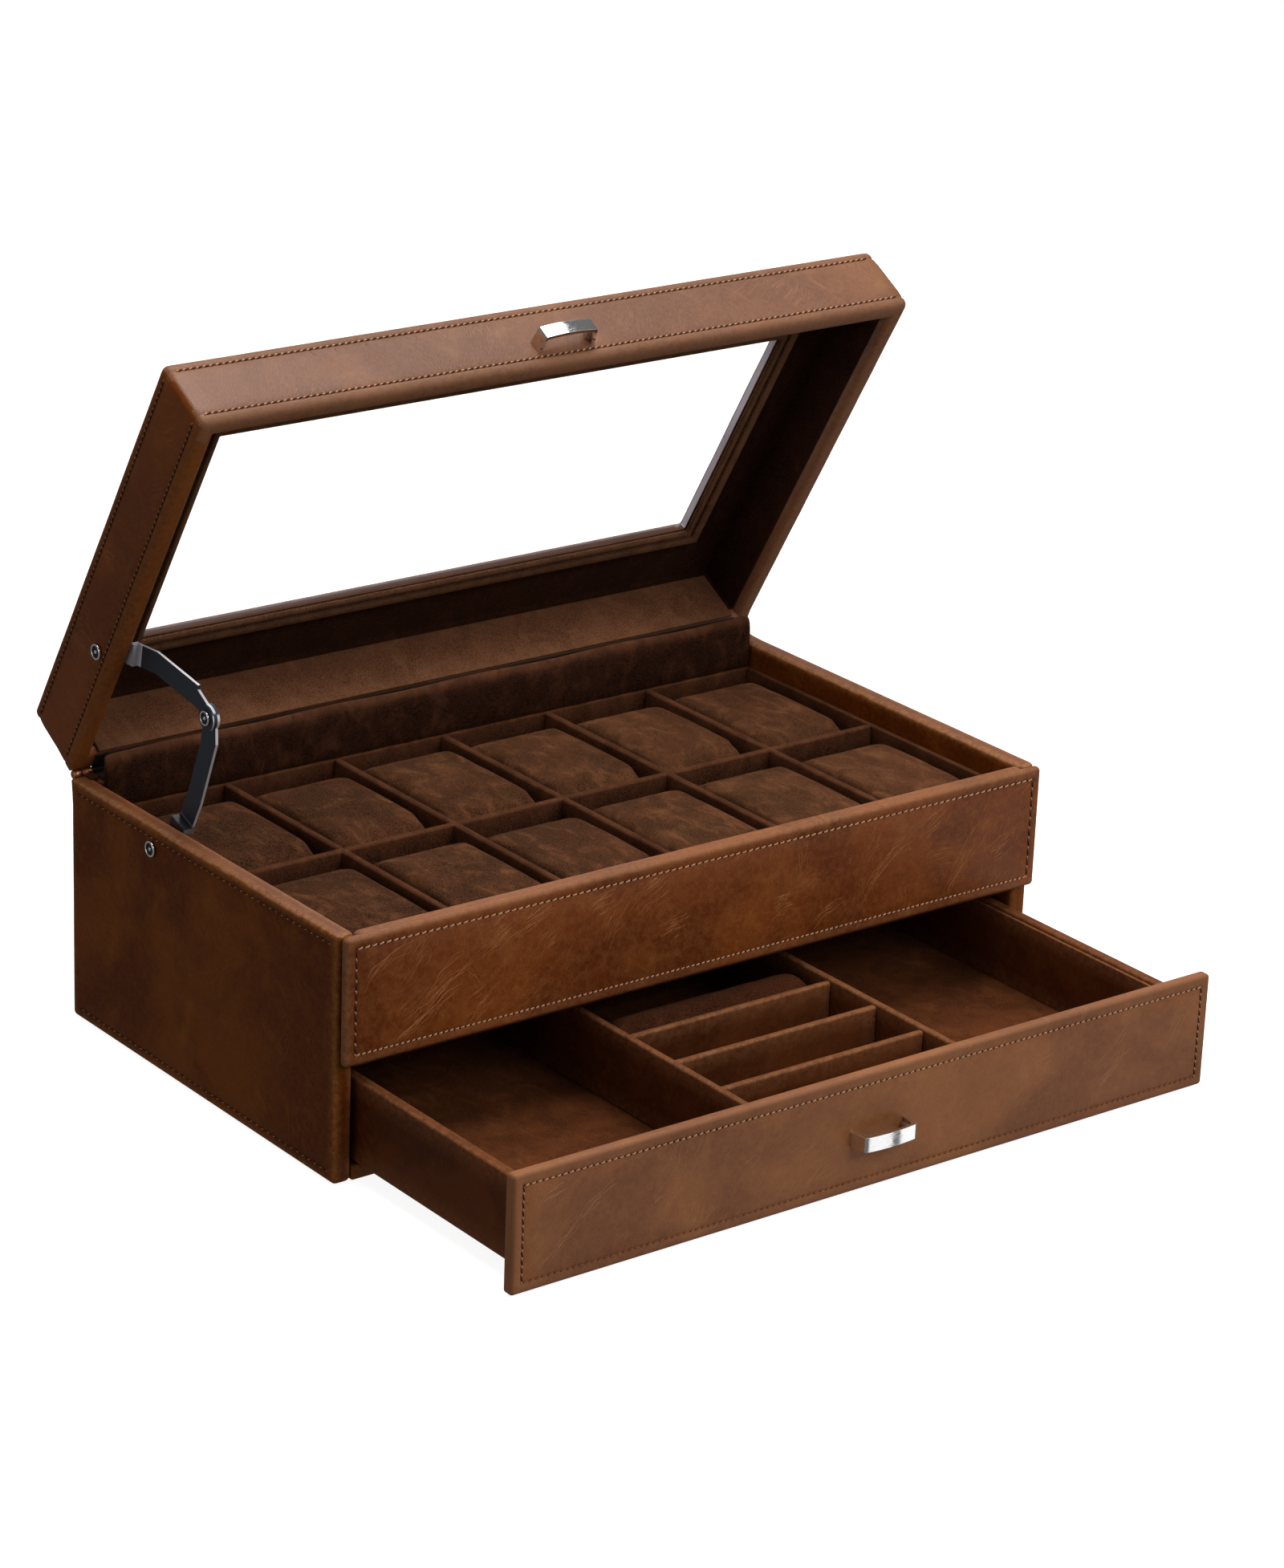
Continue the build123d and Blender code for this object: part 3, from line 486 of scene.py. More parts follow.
def metal(name, colour, rough, metallic=1.0):
    """Plated metal with faint wiping marks; thread and dull parts are made of it with metallic at 0."""
    p = Paint(name)
    colour = rgb(*colour)
    wipes = p.add("Mapping", {"Vector": p.place(), "Scale": (300, 1400, 1400)})
    streaks = p.noise(wipes.outputs[0], 1.0, 3, 0.6)
    p.set(Base_Color=p.mix(p.times(streaks, 0.25), colour, darker(colour, 0.8)))
    p.set(Metallic=metallic, Roughness=p.span(streaks, 0.3, 0.8, rough, rough + 0.12))
    p.set(Normal=p.bump(streaks, 0.00003, 0.2))
    return p.material


BAND = leather(
    "leather_band", (132, 66, 23), (102, 45, 12), (186, 120, 62), (142, 96, 60), shine=0.24, pebble=0.45
)
FRONT = leather(
    "leather_front", (158, 98, 56), (128, 76, 44), (184, 128, 82), (130, 86, 58), shine=0.2, pebble=0.2
)
SIDE = leather(
    "leather_side", (116, 58, 10), (88, 36, 6), (150, 90, 30), (152, 98, 52),
    creases=0.8, shine=0.05, pebble=0.3,
)
LID_LEATHER = leather(
    "leather_lid", (124, 74, 40), (102, 57, 28), (166, 116, 74), (136, 90, 58), tilt=LID_TILT, shine=0.42
)
# lighter leather for the side panels' top faces, lighter still at the edges: partly rubbed leather, partly a
# painted highlight where the tops face the light
RIM_RUBBED_AND_LIT = leather(
    "leather_rim_rubbed_and_lit", (130, 70, 30), (104, 52, 20), (172, 116, 70), (172, 122, 86), shine=0.12, pebble=0.5
)
DRAWER_SIDE = leather(
    "leather_drawer_side", (92, 44, 12), (70, 30, 7), (114, 64, 26), (146, 94, 60), shine=0.05
)
LID_SIDE = leather(
    "leather_lid_side", (122, 60, 14), (98, 43, 7), (156, 94, 40), (132, 80, 40),
    tilt=LID_TILT, shine=0.12, pebble=0.2,
)
NUBUCK = leather(
    "drawer_nubuck", (96, 50, 22), (72, 34, 12), (124, 74, 38), (150, 100, 66),
    gloss=0.6, shine=0.08, pebble=0.2,
)
THREAD_TAN = metal("thread_tan", (206, 152, 114), 0.7, 0.0)
THREAD_HONEY = metal("thread_honey", (158, 106, 60), 0.8, 0.0)
THREAD_BROWN = metal("thread_brown", (136, 74, 46), 0.8, 0.0)
THREAD_DARK = metal("thread_dark", (62, 32, 16), 0.8, 0.0)
SUEDE = suede("suede", (26, 12, 6), (44, 22, 12), (108, 66, 42), stroke=0.3, rub_and_painted_light=0.8)
SUEDE_DARK = suede("suede_dark", (24, 10, 5), (36, 17, 9), (70, 40, 24), stroke=0.3)
SUEDE_LIGHT = suede("suede_light", (70, 40, 24), (90, 54, 34), (134, 92, 64), stroke=0.3)
ROLL_SUEDE = suede("roll_suede", (36, 15, 7), (56, 26, 12), (100, 58, 34), stroke=0.3, rub_and_painted_light=0.0)
SUEDE_DRAWER = suede("suede_drawer", (62, 30, 13), (88, 46, 22), (134, 80, 44), stroke=0.4, speckle=0.6)
PILLOW_SUEDE = suede("pillow_suede", (14, 6, 2), (50, 24, 12), (134, 86, 54), 0.55, 0.55, 0.55)
COVER_SUEDE = suede("cover_suede", (24, 10, 5), (36, 17, 9), (98, 60, 38), speckle=0.45, rub_and_painted_light=0.8)
CHROME = metal("chrome", (235, 235, 235), 0.06)
# a rougher, slightly brighter chrome for the pulls' bevels, so that their edges show as light lines: the
# extra brightness is a painted highlight
CHROME_EDGE_GLINT = metal("chrome_edge_glint", (250, 248, 245), 0.4)
STEEL = metal("screw_steel", (200, 200, 205), 0.25)
# near black for the rivets' cups and the stitch holes: painted shade
RECESS_SHADE = metal("recess_painted_shade", (22, 18, 18), 0.5, 0.0)
BLACK_STEEL = metal("black_steel", (30, 20, 16), 0.55, 0.2)
BRASS = metal("brass", (190, 130, 95), 0.3)


def glass_material():
    p = Paint("glass")
    p.set(Base_Color=(1, 1, 1, 1), Transmission_Weight=1.0, IOR=1.45)
    p.set(Roughness=p.span(p.noise(p.place(), 30, 2), 0.2, 0.8, 0.0, 0.01))
    return p.material


GLASS = glass_material()


def coat(piece, material):
    piece.data.materials.clear()
    piece.data.materials.append(material)


def dress(piece, material, body, slot_name, *stands_for):
    """Gives a piece its material and body, and hides the CAD nodes that it stands for; the slot name is not
    used.
    """
    coat(piece, material)
    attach(piece, body)
    if stands_for:
        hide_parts(*stands_for)
    return piece


def clad(node, lo, hi, r, material, slot_name="leather_side", body="case", cover="leather", **shape):
    """A board wrapped in leather or suede in the place of a CAD board."""
    return dress(board(f"{node}_{cover}", lo, hi, r, body, **shape), material, body, slot_name, node)


def suede_board(node, lo, hi, body="case", r=1.3, material=SUEDE):
    return clad(node, lo, hi, r, material, "suede", body, "suede", step=7.0, uneven=0.12)


def joined(name, parts):
    """One piece made of several meshes of the same kind."""
    work = bmesh.new()
    for part in parts:
        work.from_mesh(part.data)
        mesh = part.data
        bpy.data.objects.remove(part)
        bpy.data.meshes.remove(mesh)
    mesh = bpy.data.meshes.new(name)
    work.to_mesh(mesh)
    work.free()
    return placed(name, mesh)


# ---- case
FRONT_ROWS = edge_rows(1, -1, 2) + edge_rows(1, -1, 0)
HALF_W, IN_W = 165.0, 157.0
HALF_D, IN_BACK = 91.5, 83.5
TOP = 98.0

band_lo, band_hi = (-164, -96.5, 48), (164, -92.5, TOP)
clad("front_band", band_lo, band_hi, 1.9, BAND, "leather_front", rows=FRONT_ROWS, crown=CROWN)
# a dark suede strip set back behind the band, so the seam round the band reads dark: real shade in the
# recess, and painted shade in the strip's dark suede
seam_shade_strip = board("front_band_seam_shade_strip", (-162, -92.8, 49.5), (162, -91.3, 96), 0.3, step=14)
dress(seam_shade_strip, SUEDE_DARK, "case", "board")
clad("front_rail", (-IN_W, -94.2, 50), (IN_W, -88.5, TOP), 2.4, BAND, "leather_front")
case_runs, case_dark_runs = board_runs(band_lo, band_hi, FRONT_ROWS), []


def side_panel(node, lo, hi, rows):
    """A side panel, with a sharp top corner by the hinge and a lighter leather on its top face: partly
    rubbed, partly a painted highlight where the top faces the light.
    """
    panel = clad(node, lo, hi, 2.2, SIDE, rows=rows)
    points = points_of(panel.data) / MM
    x, y, z = points.T
    outer = np.abs(x) > (HALF_W + IN_W) / 2
    tight_x, tight_y, tight_z = tighten(x, y, z, HALF_D, TOP, 2.3, 1)
    set_points(panel.data, np.stack([np.where(outer, tight_x, x), tight_y, tight_z], -1) * MM)
    panel.data.materials.append(RIM_RUBBED_AND_LIT)
    for polygon in panel.data.polygons:
        if polygon.center.z > (TOP - 1.2) * MM and polygon.normal.z > 0.6:
            polygon.material_index = 1
    return board_runs(lo, hi, rows)


left_lo, left_hi = (-HALF_W, -HALF_D, 0), (-IN_W, HALF_D, TOP)
case_dark_runs += side_panel("side_panel_left", left_lo, left_hi, edge_rows(0, -1, 2))
right_lo, right_hi = (IN_W, -HALF_D, 0), (HALF_W, HALF_D, TOP)
case_dark_runs += side_panel("side_panel_right", right_lo, right_hi, edge_rows(0, 1, 2))

BACK_ROWS = edge_rows(1, 1, 2)
back_lo, back_hi = (-IN_W, IN_BACK, 0), (IN_W, HALF_D, TOP)
clad("back_panel", back_lo, back_hi, 2.0, SIDE, rows=BACK_ROWS)
case_dark_runs += board_runs(back_lo, back_hi, BACK_ROWS)
clad("bottom_panel", (-IN_W, -HALF_D, 0), (IN_W, IN_BACK, 6), 1.2, SIDE, step=12)
clad("deck_panel", (-IN_W, -HALF_D, 45), (IN_W, IN_BACK, 50), 1.2, SUEDE, "suede", step=12)

# ---- tray
TRAY_Z, TRAY_TOP = 52.0, 88.0
TRAY_X, TRAY_FRONT, TRAY_BACK, MID_Y = 154.8, -83.5, 78.5, -2.5
PITCH, DIVIDER = 51.0 + 1.0 / 3.0, 3.0
CROSS_X = [PITCH * (k - 2) for k in range(5)]
COLUMN_X = [PITCH * (k - 2.5) for k in range(6)]
ROW_Y = {"front": -43.75, "rear": 38.75}
STAY_STEP_Z = 81.0

suede_board("tray_wall_left", (-IN_W, TRAY_FRONT, TRAY_Z), (-TRAY_X, TRAY_BACK, STAY_STEP_Z))
suede_board("tray_wall_right", (TRAY_X, TRAY_FRONT, TRAY_Z), (IN_W, TRAY_BACK, TRAY_TOP))
suede_board("tray_wall_front", (-IN_W, -88.5, TRAY_Z), (IN_W, TRAY_FRONT, TRAY_TOP))
suede_board("tray_wall_back", (-IN_W, TRAY_BACK, TRAY_Z), (IN_W, IN_BACK, TRAY_TOP))
low_y, high_y = MID_Y - DIVIDER / 2, MID_Y + DIVIDER / 2
long_parts = [
    board("long", (-152.5, low_y, TRAY_Z), (TRAY_X, high_y, TRAY_TOP), 1.3, uneven=0.25, step=7.0),
    board("end", (-TRAY_X, low_y, TRAY_Z), (-151.0, high_y, STAY_STEP_Z), 1.0),
]
dress(joined("tray_long_divider_suede", long_parts), SUEDE, "case", "suede", "tray_long_divider")
cross_parts = []
for x in CROSS_X:
    lo, hi = (x - DIVIDER / 2, TRAY_FRONT, TRAY_Z), (x + DIVIDER / 2, TRAY_BACK, TRAY_TOP)
    cross_parts.append(board("cross", lo, hi, 1.3, uneven=0.25, step=7.0))
dress(joined("tray_cross_dividers_suede", cross_parts), SUEDE, "case", "suede", "tray_cross_dividers")
coat(nodes["tray_floor"], SUEDE)

# ---- pillows: a block with rounded ends, puffed by a short cloth simulation
PILLOW_W, PILLOW_L = 44.5, 75.5
PILLOW_LOW, PILLOW_TOP = 52.3, 88.4
PILLOW_SWELL = 1.2
PILLOW_KINDS = 3
VOXEL = 3.2
CLOTH_FRAMES = 20


def pillow_form(name, kind):
    """The cut pillow before it is stuffed: flat sides, a round fall at both ends, in mm at the origin."""
    half_l, half_w = PILLOW_L / 2 - PILLOW_SWELL, PILLOW_W / 2 - PILLOW_SWELL
    low, top = PILLOW_LOW + 0.3, PILLOW_TOP - PILLOW_SWELL
    end_r, steps = 13.0 + 1.5 * kind, 8
    outline = [(-half_l + 3, low), (half_l - 3, low), (half_l, low + 3)]
    for k in range(steps + 1):
        a = (pi / 2) * k / steps
        outline.append((half_l - end_r * (1 - cos(a)), top - end_r * (1 - sin(a))))
    for k in range(1, steps):
        along = half_l - end_r - (2 * half_l - 2 * end_r) * k / steps
        outline.append((along, top + 0.5 * sin(pi * k / steps)))
    for k in range(steps + 1):
        a = pi / 2 + (pi / 2) * k / steps
        outline.append((-half_l + end_r * (1 + cos(a)), top - end_r * (1 - sin(a))))
    outline.append((-half_l, low + 3))
    layers = [(-half_w, 2.2), (-half_w + 0.6, 0.9), (-half_w + 1.8, 0.0)]
    layers += [(-half_w + 1.8 + (2 * half_w - 3.6) * k / 8, 0.0) for k in range(1, 8)]
    layers += [(half_w - 1.8, 0.0), (half_w - 0.6, 0.9), (half_w, 2.2)]
    middle, verts = (low + top) / 2, []
    for x, drawn_in in layers:
        for y, z in outline:
            away = Vector((y, z - middle))
            scale = 1 - drawn_in / max(away.length, 1.0)
            verts.append((x, away.x * scale, middle + away.y * scale))
    faces = tube_faces(len(layers), len(outline), flip=True)
    return weld(new_mesh(name, verts, faces), turn_out=True)


def applied(piece):
    """The piece's mesh with its modifiers worked in; they are taken off the piece."""
    bpy.context.view_layer.update()
    graph = bpy.context.evaluated_depsgraph_get()
    mesh = bpy.data.meshes.new_from_object(piece.evaluated_get(graph))
    piece.modifiers.clear()
    return mesh


def subdivide(piece):
    modifier = piece.modifiers.new("subdivision", "SUBSURF")
    modifier.levels = modifier.render_levels = 1


def stuffed(piece, cap, kind):
    """Remeshes a closed form evenly and puffs it with cloth under pressure, moved by cap at the most."""
    remesh = piece.modifiers.new("remesh", "REMESH")
    remesh.mode, remesh.voxel_size = "VOXEL", VOXEL * MM
    piece.data = applied(piece)
    start = points_of(piece.data)
    cloth = piece.modifiers.new("cloth", "CLOTH")
    cloth.settings.use_pressure = True
    cloth.settings.uniform_pressure_force = 4
    cloth.settings.effector_weights.gravity = 0
    cloth.settings.quality = 5
    cloth.settings.tension_stiffness = 12
    cloth.settings.bending_stiffness = 1.0 + 0.8 * kind
    cloth.point_cache.frame_start, cloth.point_cache.frame_end = 1, CLOTH_FRAMES
    for number in range(1, CLOTH_FRAMES + 1):
        scene.frame_set(number)
    puffed = applied(piece)
    scene.frame_set(1)
    move = points_of(puffed) - start
    size = np.linalg.norm(move, axis=1, keepdims=True)
    move *= np.minimum(1, cap * MM / np.maximum(size, 1e-9))
    set_points(piece.data, start + move)
    bpy.data.meshes.remove(puffed)


def settle(piece, room, creases):
    """Works small creases into a puffed form, keeps it inside its room and smooths it."""
    points = points_of(piece.data) / MM
    for centre, way, depth, width, reach in creases:
        from_centre = points - np.array(centre)
        way = np.array(way, float) / np.linalg.norm(way)
        run = from_centre @ way
        flat = from_centre - run[:, None] * way
        flat[:, 2] *= 0.3
        off = np.linalg.norm(flat, axis=1)
        points[:, 2] -= depth * np.exp(-((off / width) ** 2)) * np.exp(-((run / reach) ** 2))
    set_points(piece.data, np.clip(points, *room) * MM)
    subdivide(piece)
    piece.data = applied(piece)
    piece.data.polygons.foreach_set("use_smooth", [True] * len(piece.data.polygons))


kinds = []
for kind in range(PILLOW_KINDS):
    form = pillow_form(f"pillow_kind_{kind}", kind)
    stuffed(form, PILLOW_SWELL * 1.6, kind)
    side = 1 if kind % 2 else -1
    creases = [
        ((side * 9, -20, PILLOW_TOP), (1, 0.5 * side, 0), 0.5, 3.0, 12),
        ((-side * 12, 14, PILLOW_TOP), (0.8, -0.9, 0), 0.45, 2.6, 14),
        ((side * 14, 24, PILLOW_TOP), (0.5, 1, 0), 0.35, 2.4, 9),
    ]
    half_w, half_l = PILLOW_W / 2, PILLOW_L / 2
    room = (-half_w, -half_l, PILLOW_LOW), (half_w, half_l, PILLOW_TOP + 0.5)
    settle(form, room, creases)
    kinds.append(form)

# each pillow is painted a little lighter than its left neighbour: painted light, growing towards the right
PAINTED_LIGHT_STEP = 0.09

for row, centre_y in ROW_Y.items():
    for k, centre_x in enumerate(COLUMN_X):
        node, rear = f"pillow_{row}_{k + 1}", row == "rear"
        mesh = kinds[(k + rear) % PILLOW_KINDS].data.copy()
        flip_x = -1 if (k // 2 + rear) % 2 else 1
        flip_y = -1 if k % 2 else 1
        centre = Matrix.Translation((centre_x * MM, centre_y * MM, 0))
        mesh.transform(centre @ Matrix.Diagonal((flip_x, flip_y, 1, 1)))
        if flip_x * flip_y < 0:
            mesh.flip_normals()
        # the step goes into the edge attribute, which the pillow suede paints as lighter suede: painted light
        lightening = mesh.attributes.new("edge", "FLOAT", "POINT")
        lightening.data.foreach_set("value", [PAINTED_LIGHT_STEP * k] * len(mesh.vertices))
        pillow = placed(f"{node}_suede", mesh)
        dress(pillow, PILLOW_SUEDE, f"{node}_body", "pillow_suede", node)
for form in kinds:
    bpy.data.objects.remove(form)

# ---- hinge and its padded cover
FLAP_X, FLAP_FRONT, FLAP_BACK, FLAP_TOP, FLAP_LOW = 156.4, 78.4, 81.9, 109.6, 88.0


def flap():
    """A padded strip of suede standing on the tray's back wall, with a rolled top edge."""
    profile = [(FLAP_BACK, z) for z in (FLAP_LOW, 95.0, 101.0, 106.0)]
    middle, r = (FLAP_FRONT + FLAP_BACK) / 2, (FLAP_BACK - FLAP_FRONT) / 2
    reach, rise = 3.1, 9.0
    profile += [(FLAP_BACK - 0.1, FLAP_TOP - 0.5), (FLAP_BACK - 0.5, FLAP_TOP)]
    for a in np.radians([72, 54, 36, 20, 8]):
        profile.append((FLAP_BACK - 0.5 - reach * cos(a) * 0.97, FLAP_TOP - rise * (1 - sin(a))))
    profile += [(FLAP_FRONT, 97.5), (FLAP_FRONT - 0.1, 93.0), (FLAP_FRONT + 0.2, 90.0)]
    profile.append((FLAP_FRONT + 0.6, FLAP_LOW))
    stations = grid_lines(-FLAP_X, FLAP_X, [0, 0.5, 1.5, 3.0], 5.0)
    verts, edges = [], []
    for x in stations:
        to_end = min(x + FLAP_X, FLAP_X - x)
        draw = 0.8 * max(0.0, 1 - to_end / 3.0) ** 2
        for y, z in profile:
            ripple = 0.3 * sin(x * 0.16 + 0.5) * sin((z - 88) * 0.3) + 0.2 * sin(x * 0.37 + z * 0.2)
            shift = ripple if y < middle else 0.0
            sag = 0.3 * sin(x * 0.09) if z > 106 else 0
            verts.append((x, y + shift + draw * (middle - y) / r, z - draw + sag))
            # the front face is painted lighter towards its rolled top through the edge attribute: a painted
            # highlight where the roll faces up
            edges.append(min(1.0, max(0.0, (z - 105.5) / 3)) if y < FLAP_BACK - 0.2 else 0.0)
    faces = tube_faces(len(stations), len(profile), flip=True)
    return weld(new_mesh("hinge_cover_suede", verts, faces, edge=edges), turn_out=True)


cover = dress(flap(), COVER_SUEDE, "case", "suede", "hinge_cover")
for name in ("hinge_leaf_case", "hinge_leaf_lid"):
    coat(nodes[name], BLACK_STEEL)
coat(nodes["hinge_pin"], BRASS)

TURNED_SIDES = 28


def turned(name, profile, centre, out, material, body, slot_name, *stands_for, dark=()):
    """A turned piece along X: profile is (radius, distance out); dark segments take the near black of a
    recess, a painted shade.
    """
    verts = []
    for radius, away in profile:
        for k in range(TURNED_SIDES):
            a = 2 * pi * k / TURNED_SIDES
            verts.append((centre[0] + out * away, centre[1] + radius * cos(a), centre[2] + radius * sin(a)))
    piece = weld(new_mesh(name, verts, tube_faces(len(profile), TURNED_SIDES)), turn_out=True)
    dress(piece, material, body, slot_name, *stands_for)
    if dark:
        piece.data.materials.append(RECESS_SHADE)
        numbers = [int(s in dark) for s in range(len(profile) - 1) for _ in range(TURNED_SIDES)]
        piece.data.polygons.foreach_set("material_index", numbers + [0, 0])


KNUCKLE_R = 2.0
knuckle = [(0.3, -0.5), (KNUCKLE_R - 0.2, -0.5), (KNUCKLE_R, -0.3), (KNUCKLE_R, 3.4), (KNUCKLE_R - 0.4, 3.6)]
knuckle += [(KNUCKLE_R - 0.4, 3.9), (KNUCKLE_R, 4.1), (KNUCKLE_R, 7.0), (KNUCKLE_R - 0.5, 7.6), (0.3, 7.7)]
for sign, side in BOTH_SIDES:
    turned(f"hinge_knuckle_{side}", knuckle, (sign * 155.6, HINGE[1], HINGE[2]), sign, BRASS, "case", "brass")
    x0, x1 = sorted((sign * 159.0, sign * 155.3))
    dress(board(f"hinge_gap_{side}", (x0, 86.0, 92.0), (x1, 91.2, 99.2), 0.8), COVER_SUEDE, "case", "suede")

# ---- lid
LID_OUT = (-HALF_W, HALF_W, -189.5, -1.5)
WINDOW = (-132, 132, -152.5, -41.5)
RIM_Z, LID_TOP, ROOF = 0.75, 31.75, 27.75
CORNER = 3.2


def inset(depth):
    return grow(LID_OUT, -depth)


def corner(depth):
    return max(CORNER - depth, 0.3)


def lid_shell():
    loops = [(WINDOW, 1.0, ROOF, 0.2), (WINDOW, 1.0, LID_TOP - 1, 0.8)]
    loops += [(grow(WINDOW, 0.3), 1.2, LID_TOP - 0.3, 1.0), (grow(WINDOW, 1.0), 1.5, LID_TOP, 0.8)]
    start, stop, r = grow(WINDOW, 3.0), inset(2.5), 2.5
    for share in (0, 0.15, 0.35, 0.55, 0.75, 0.9):
        loops.append((between(start, stop, share), 1.5, LID_TOP, 0.1))
    for a in (0, 30, 60, 90):
        depth = r * (1 - sin(radians(a)))
        z = LID_TOP - r * (1 - cos(radians(a)))
        loops.append((inset(depth), corner(depth), z, 0.6 if a in (0, 90) else 1.0))
    for z in (LID_TOP - STITCH_IN, RIM_Z + STITCH_IN):
        for k in reversed(GROOVE_LINES):
            loops.append((inset(GROOVE_DEPTH * np.exp(-(k**2))), CORNER, z + k * GROOVE_WIDTH, 0.15))
        if z > 16:
            loops += [(inset(-0.12), CORNER, level, 0.0) for level in (23.5, 20, 16, 12, 8.5)]
    r = 3.0
    for a in (0, 25, 50, 70, 90):
        depth = r * (1 - cos(radians(a)))
        loops.append((inset(depth), corner(depth), RIM_Z + r * (1 - sin(radians(a))), 0.9))
    r = 2.4
    for a in (0, 30, 60, 90):
        depth = 8 - r + r * sin(radians(a))
        loops.append((inset(depth), 0.3, RIM_Z + r * (1 - cos(radians(a))), 0.8))
    loops += [(inset(8), 0.3, z, 0.0) for z in (5, 12, 20, ROOF)]
    loops.append((between(inset(8), WINDOW, 0.5), 0.5, ROOF, 0.0))
    rows = [ring_loop(rect, radius, z, (44, 30)) for rect, radius, z, _ in loops]
    tight = [np.stack(tighten(*row.T, LID_OUT[3], RIM_Z, 3.4, -1), -1) for row in rows]
    return ring_of("lid_shell_leather", tight, [wear_and_light for *_, wear_and_light in loops], 0.05)


shell = lid_shell()
dress(
    shell, LID_LEATHER, "lid", "leather_front",
    "lid_side_left", "lid_side_right", "lid_front", "lid_back", "lid_top_frame",
)
shell.data.materials.append(SUEDE_DARK)
shell.data.materials.append(LID_SIDE)
CEILING_FACE, SIDE_FACE = 1, 2
window_y = (WINDOW[2] + WINDOW[3]) / 2
for face in shell.data.polygons:
    middle = LID.inverted() @ (face.center / MM)
    if abs(middle.x) > HALF_W - 0.9 or (middle.x < 0 and middle.z < 3.9 and middle.y > LID_OUT[2] + 8.5):
        face.material_index = SIDE_FACE
    if max(abs(middle.x) - 142, abs(middle.y - window_y) - 65.5) < 0 and middle.z < ROOF + 0.5:
        face.material_index = CEILING_FACE

MOULDING_OUT = grow(WINDOW, 12)
moulding_in = grow(MOULDING_OUT, -0.5)
lining_loops = [
    (inset(8.02), 0.3, 4.6, 1.0), (inset(8.3), 0.3, 4.7, 1.0), (inset(8.32), 0.3, 5.4, 0.4),
    (inset(8.3), 0.3, 12, 0.0), (inset(8.3), 0.3, 20, 0.0), (inset(8.3), 0.3, ROOF - 1.5, 0.0),
    (inset(8.6), 0.5, ROOF - 0.6, 0.0), (inset(9.4), 0.8, ROOF - 0.3, 0.0),
    (between(inset(9.4), MOULDING_OUT, 0.5), 0.8, ROOF - 0.3, 0.0), (moulding_in, 0.5, ROOF - 0.3, 0.0),
    (moulding_in, 0.5, ROOF - 0.02, 0.0), (inset(8.02), 0.3, ROOF - 0.02, 0.0),
]
dress(ring("lid_lining_suede", lining_loops, (44, 30)), SUEDE_DARK, "lid", "suede")
clad(
    "lid_back_lining", (-154, -10.9, 0.7), (154, -9.55, 24.25), 0.6, SUEDE_LIGHT,
    "suede", "lid", "suede", step=7,
)


def bead(middle, reach, drop):
    """The round of one bead, in (distance out, z)."""
    turns = np.radians([30, 60, 90, 120, 150])
    return [(middle - reach * cos(a), 25.2 - drop * sin(a)) for a in turns]


def moulding():
    """Two rolled beads round the window, the inner one against the glass."""
    profile = [(0.0, 25.7), (0.0, 25.2)] + bead(1.5, 1.5, 0.9)
    profile += [(3.1, 25.5), (3.4, 25.9), (3.8, 25.5)] + bead(6.2, 2.4, 0.95)
    profile += [(8.7, 25.8), (9.1, 26.3), (9.6, 26.2), (11.2, 27.0), (12.0, 27.7), (6.2, 27.74), (6.2, 25.75)]
    # the bead crowns get a high edge value, which the moulding suede paints lighter: a painted highlight on
    # the beads
    loops = [(grow(WINDOW, out), 0.4, z, 0.75 if z < 24.6 else 0.0) for out, z in profile]
    return ring("window_moulding_leather", loops, (44, 24))


MOULDING = suede("moulding_suede", (48, 28, 18), (62, 38, 25), (120, 84, 58), stroke=0.2, rub_and_painted_light=0.9)
dress(moulding(), MOULDING, "lid", "suede", "window_moulding")


def trim_material():
    """The window's cut edge in painted light and shade: a painted satin grey sheen at its two ends, painted
    shade near black along it, and a greyer painted sheen along its upper edge.
    """
    p = Paint("window_trim_painted_light")
    place = p.place()
    soft = p.noise(place, 24, 2)
    grey = p.mix(p.span(soft, 0.3, 0.7), rgb(168, 158, 168), rgb(196, 188, 194))
    height = p.split(p.rotate(place, LID_TILT, "X", tuple(v * MM for v in HINGE)))[2]
    rim = p.span(height, (HINGE[2] + LID_TOP - 2.0) * MM, (HINGE[2] + LID_TOP - 1.7) * MM)
    along = p.mix(rim, rgb(66, 42, 29), rgb(92, 84, 88))
    p.set(Base_Color=p.mix(p.span(p.facing_x(), 0.5, 0.8), along, grey), Specular_IOR_Level=0.15)
    p.set(Roughness=p.span(soft, 0.3, 0.7, 0.3, 0.42))
    return p.material


trim_loops = [
    (grow(WINDOW, 0.1), 1.0, ROOF + 0.1, 0.0), (grow(WINDOW, 0.1), 1.0, LID_TOP - 1.2, 0.0),
    (grow(WINDOW, -0.15), 1.0, LID_TOP - 1.1, 0.0), (grow(WINDOW, -0.25), 1.0, LID_TOP - 1.4, 0.0),
    (grow(WINDOW, -0.25), 1.0, ROOF + 0.3, 0.0), (grow(WINDOW, -0.15), 1.0, ROOF + 0.1, 0.0),
]
dress(ring("window_trim_painted_light", trim_loops, (12, 8)), trim_material(), "lid", "chrome")
coat(nodes["lid_glass"], GLASS)
nodes["lid_glass"].visible_shadow = False

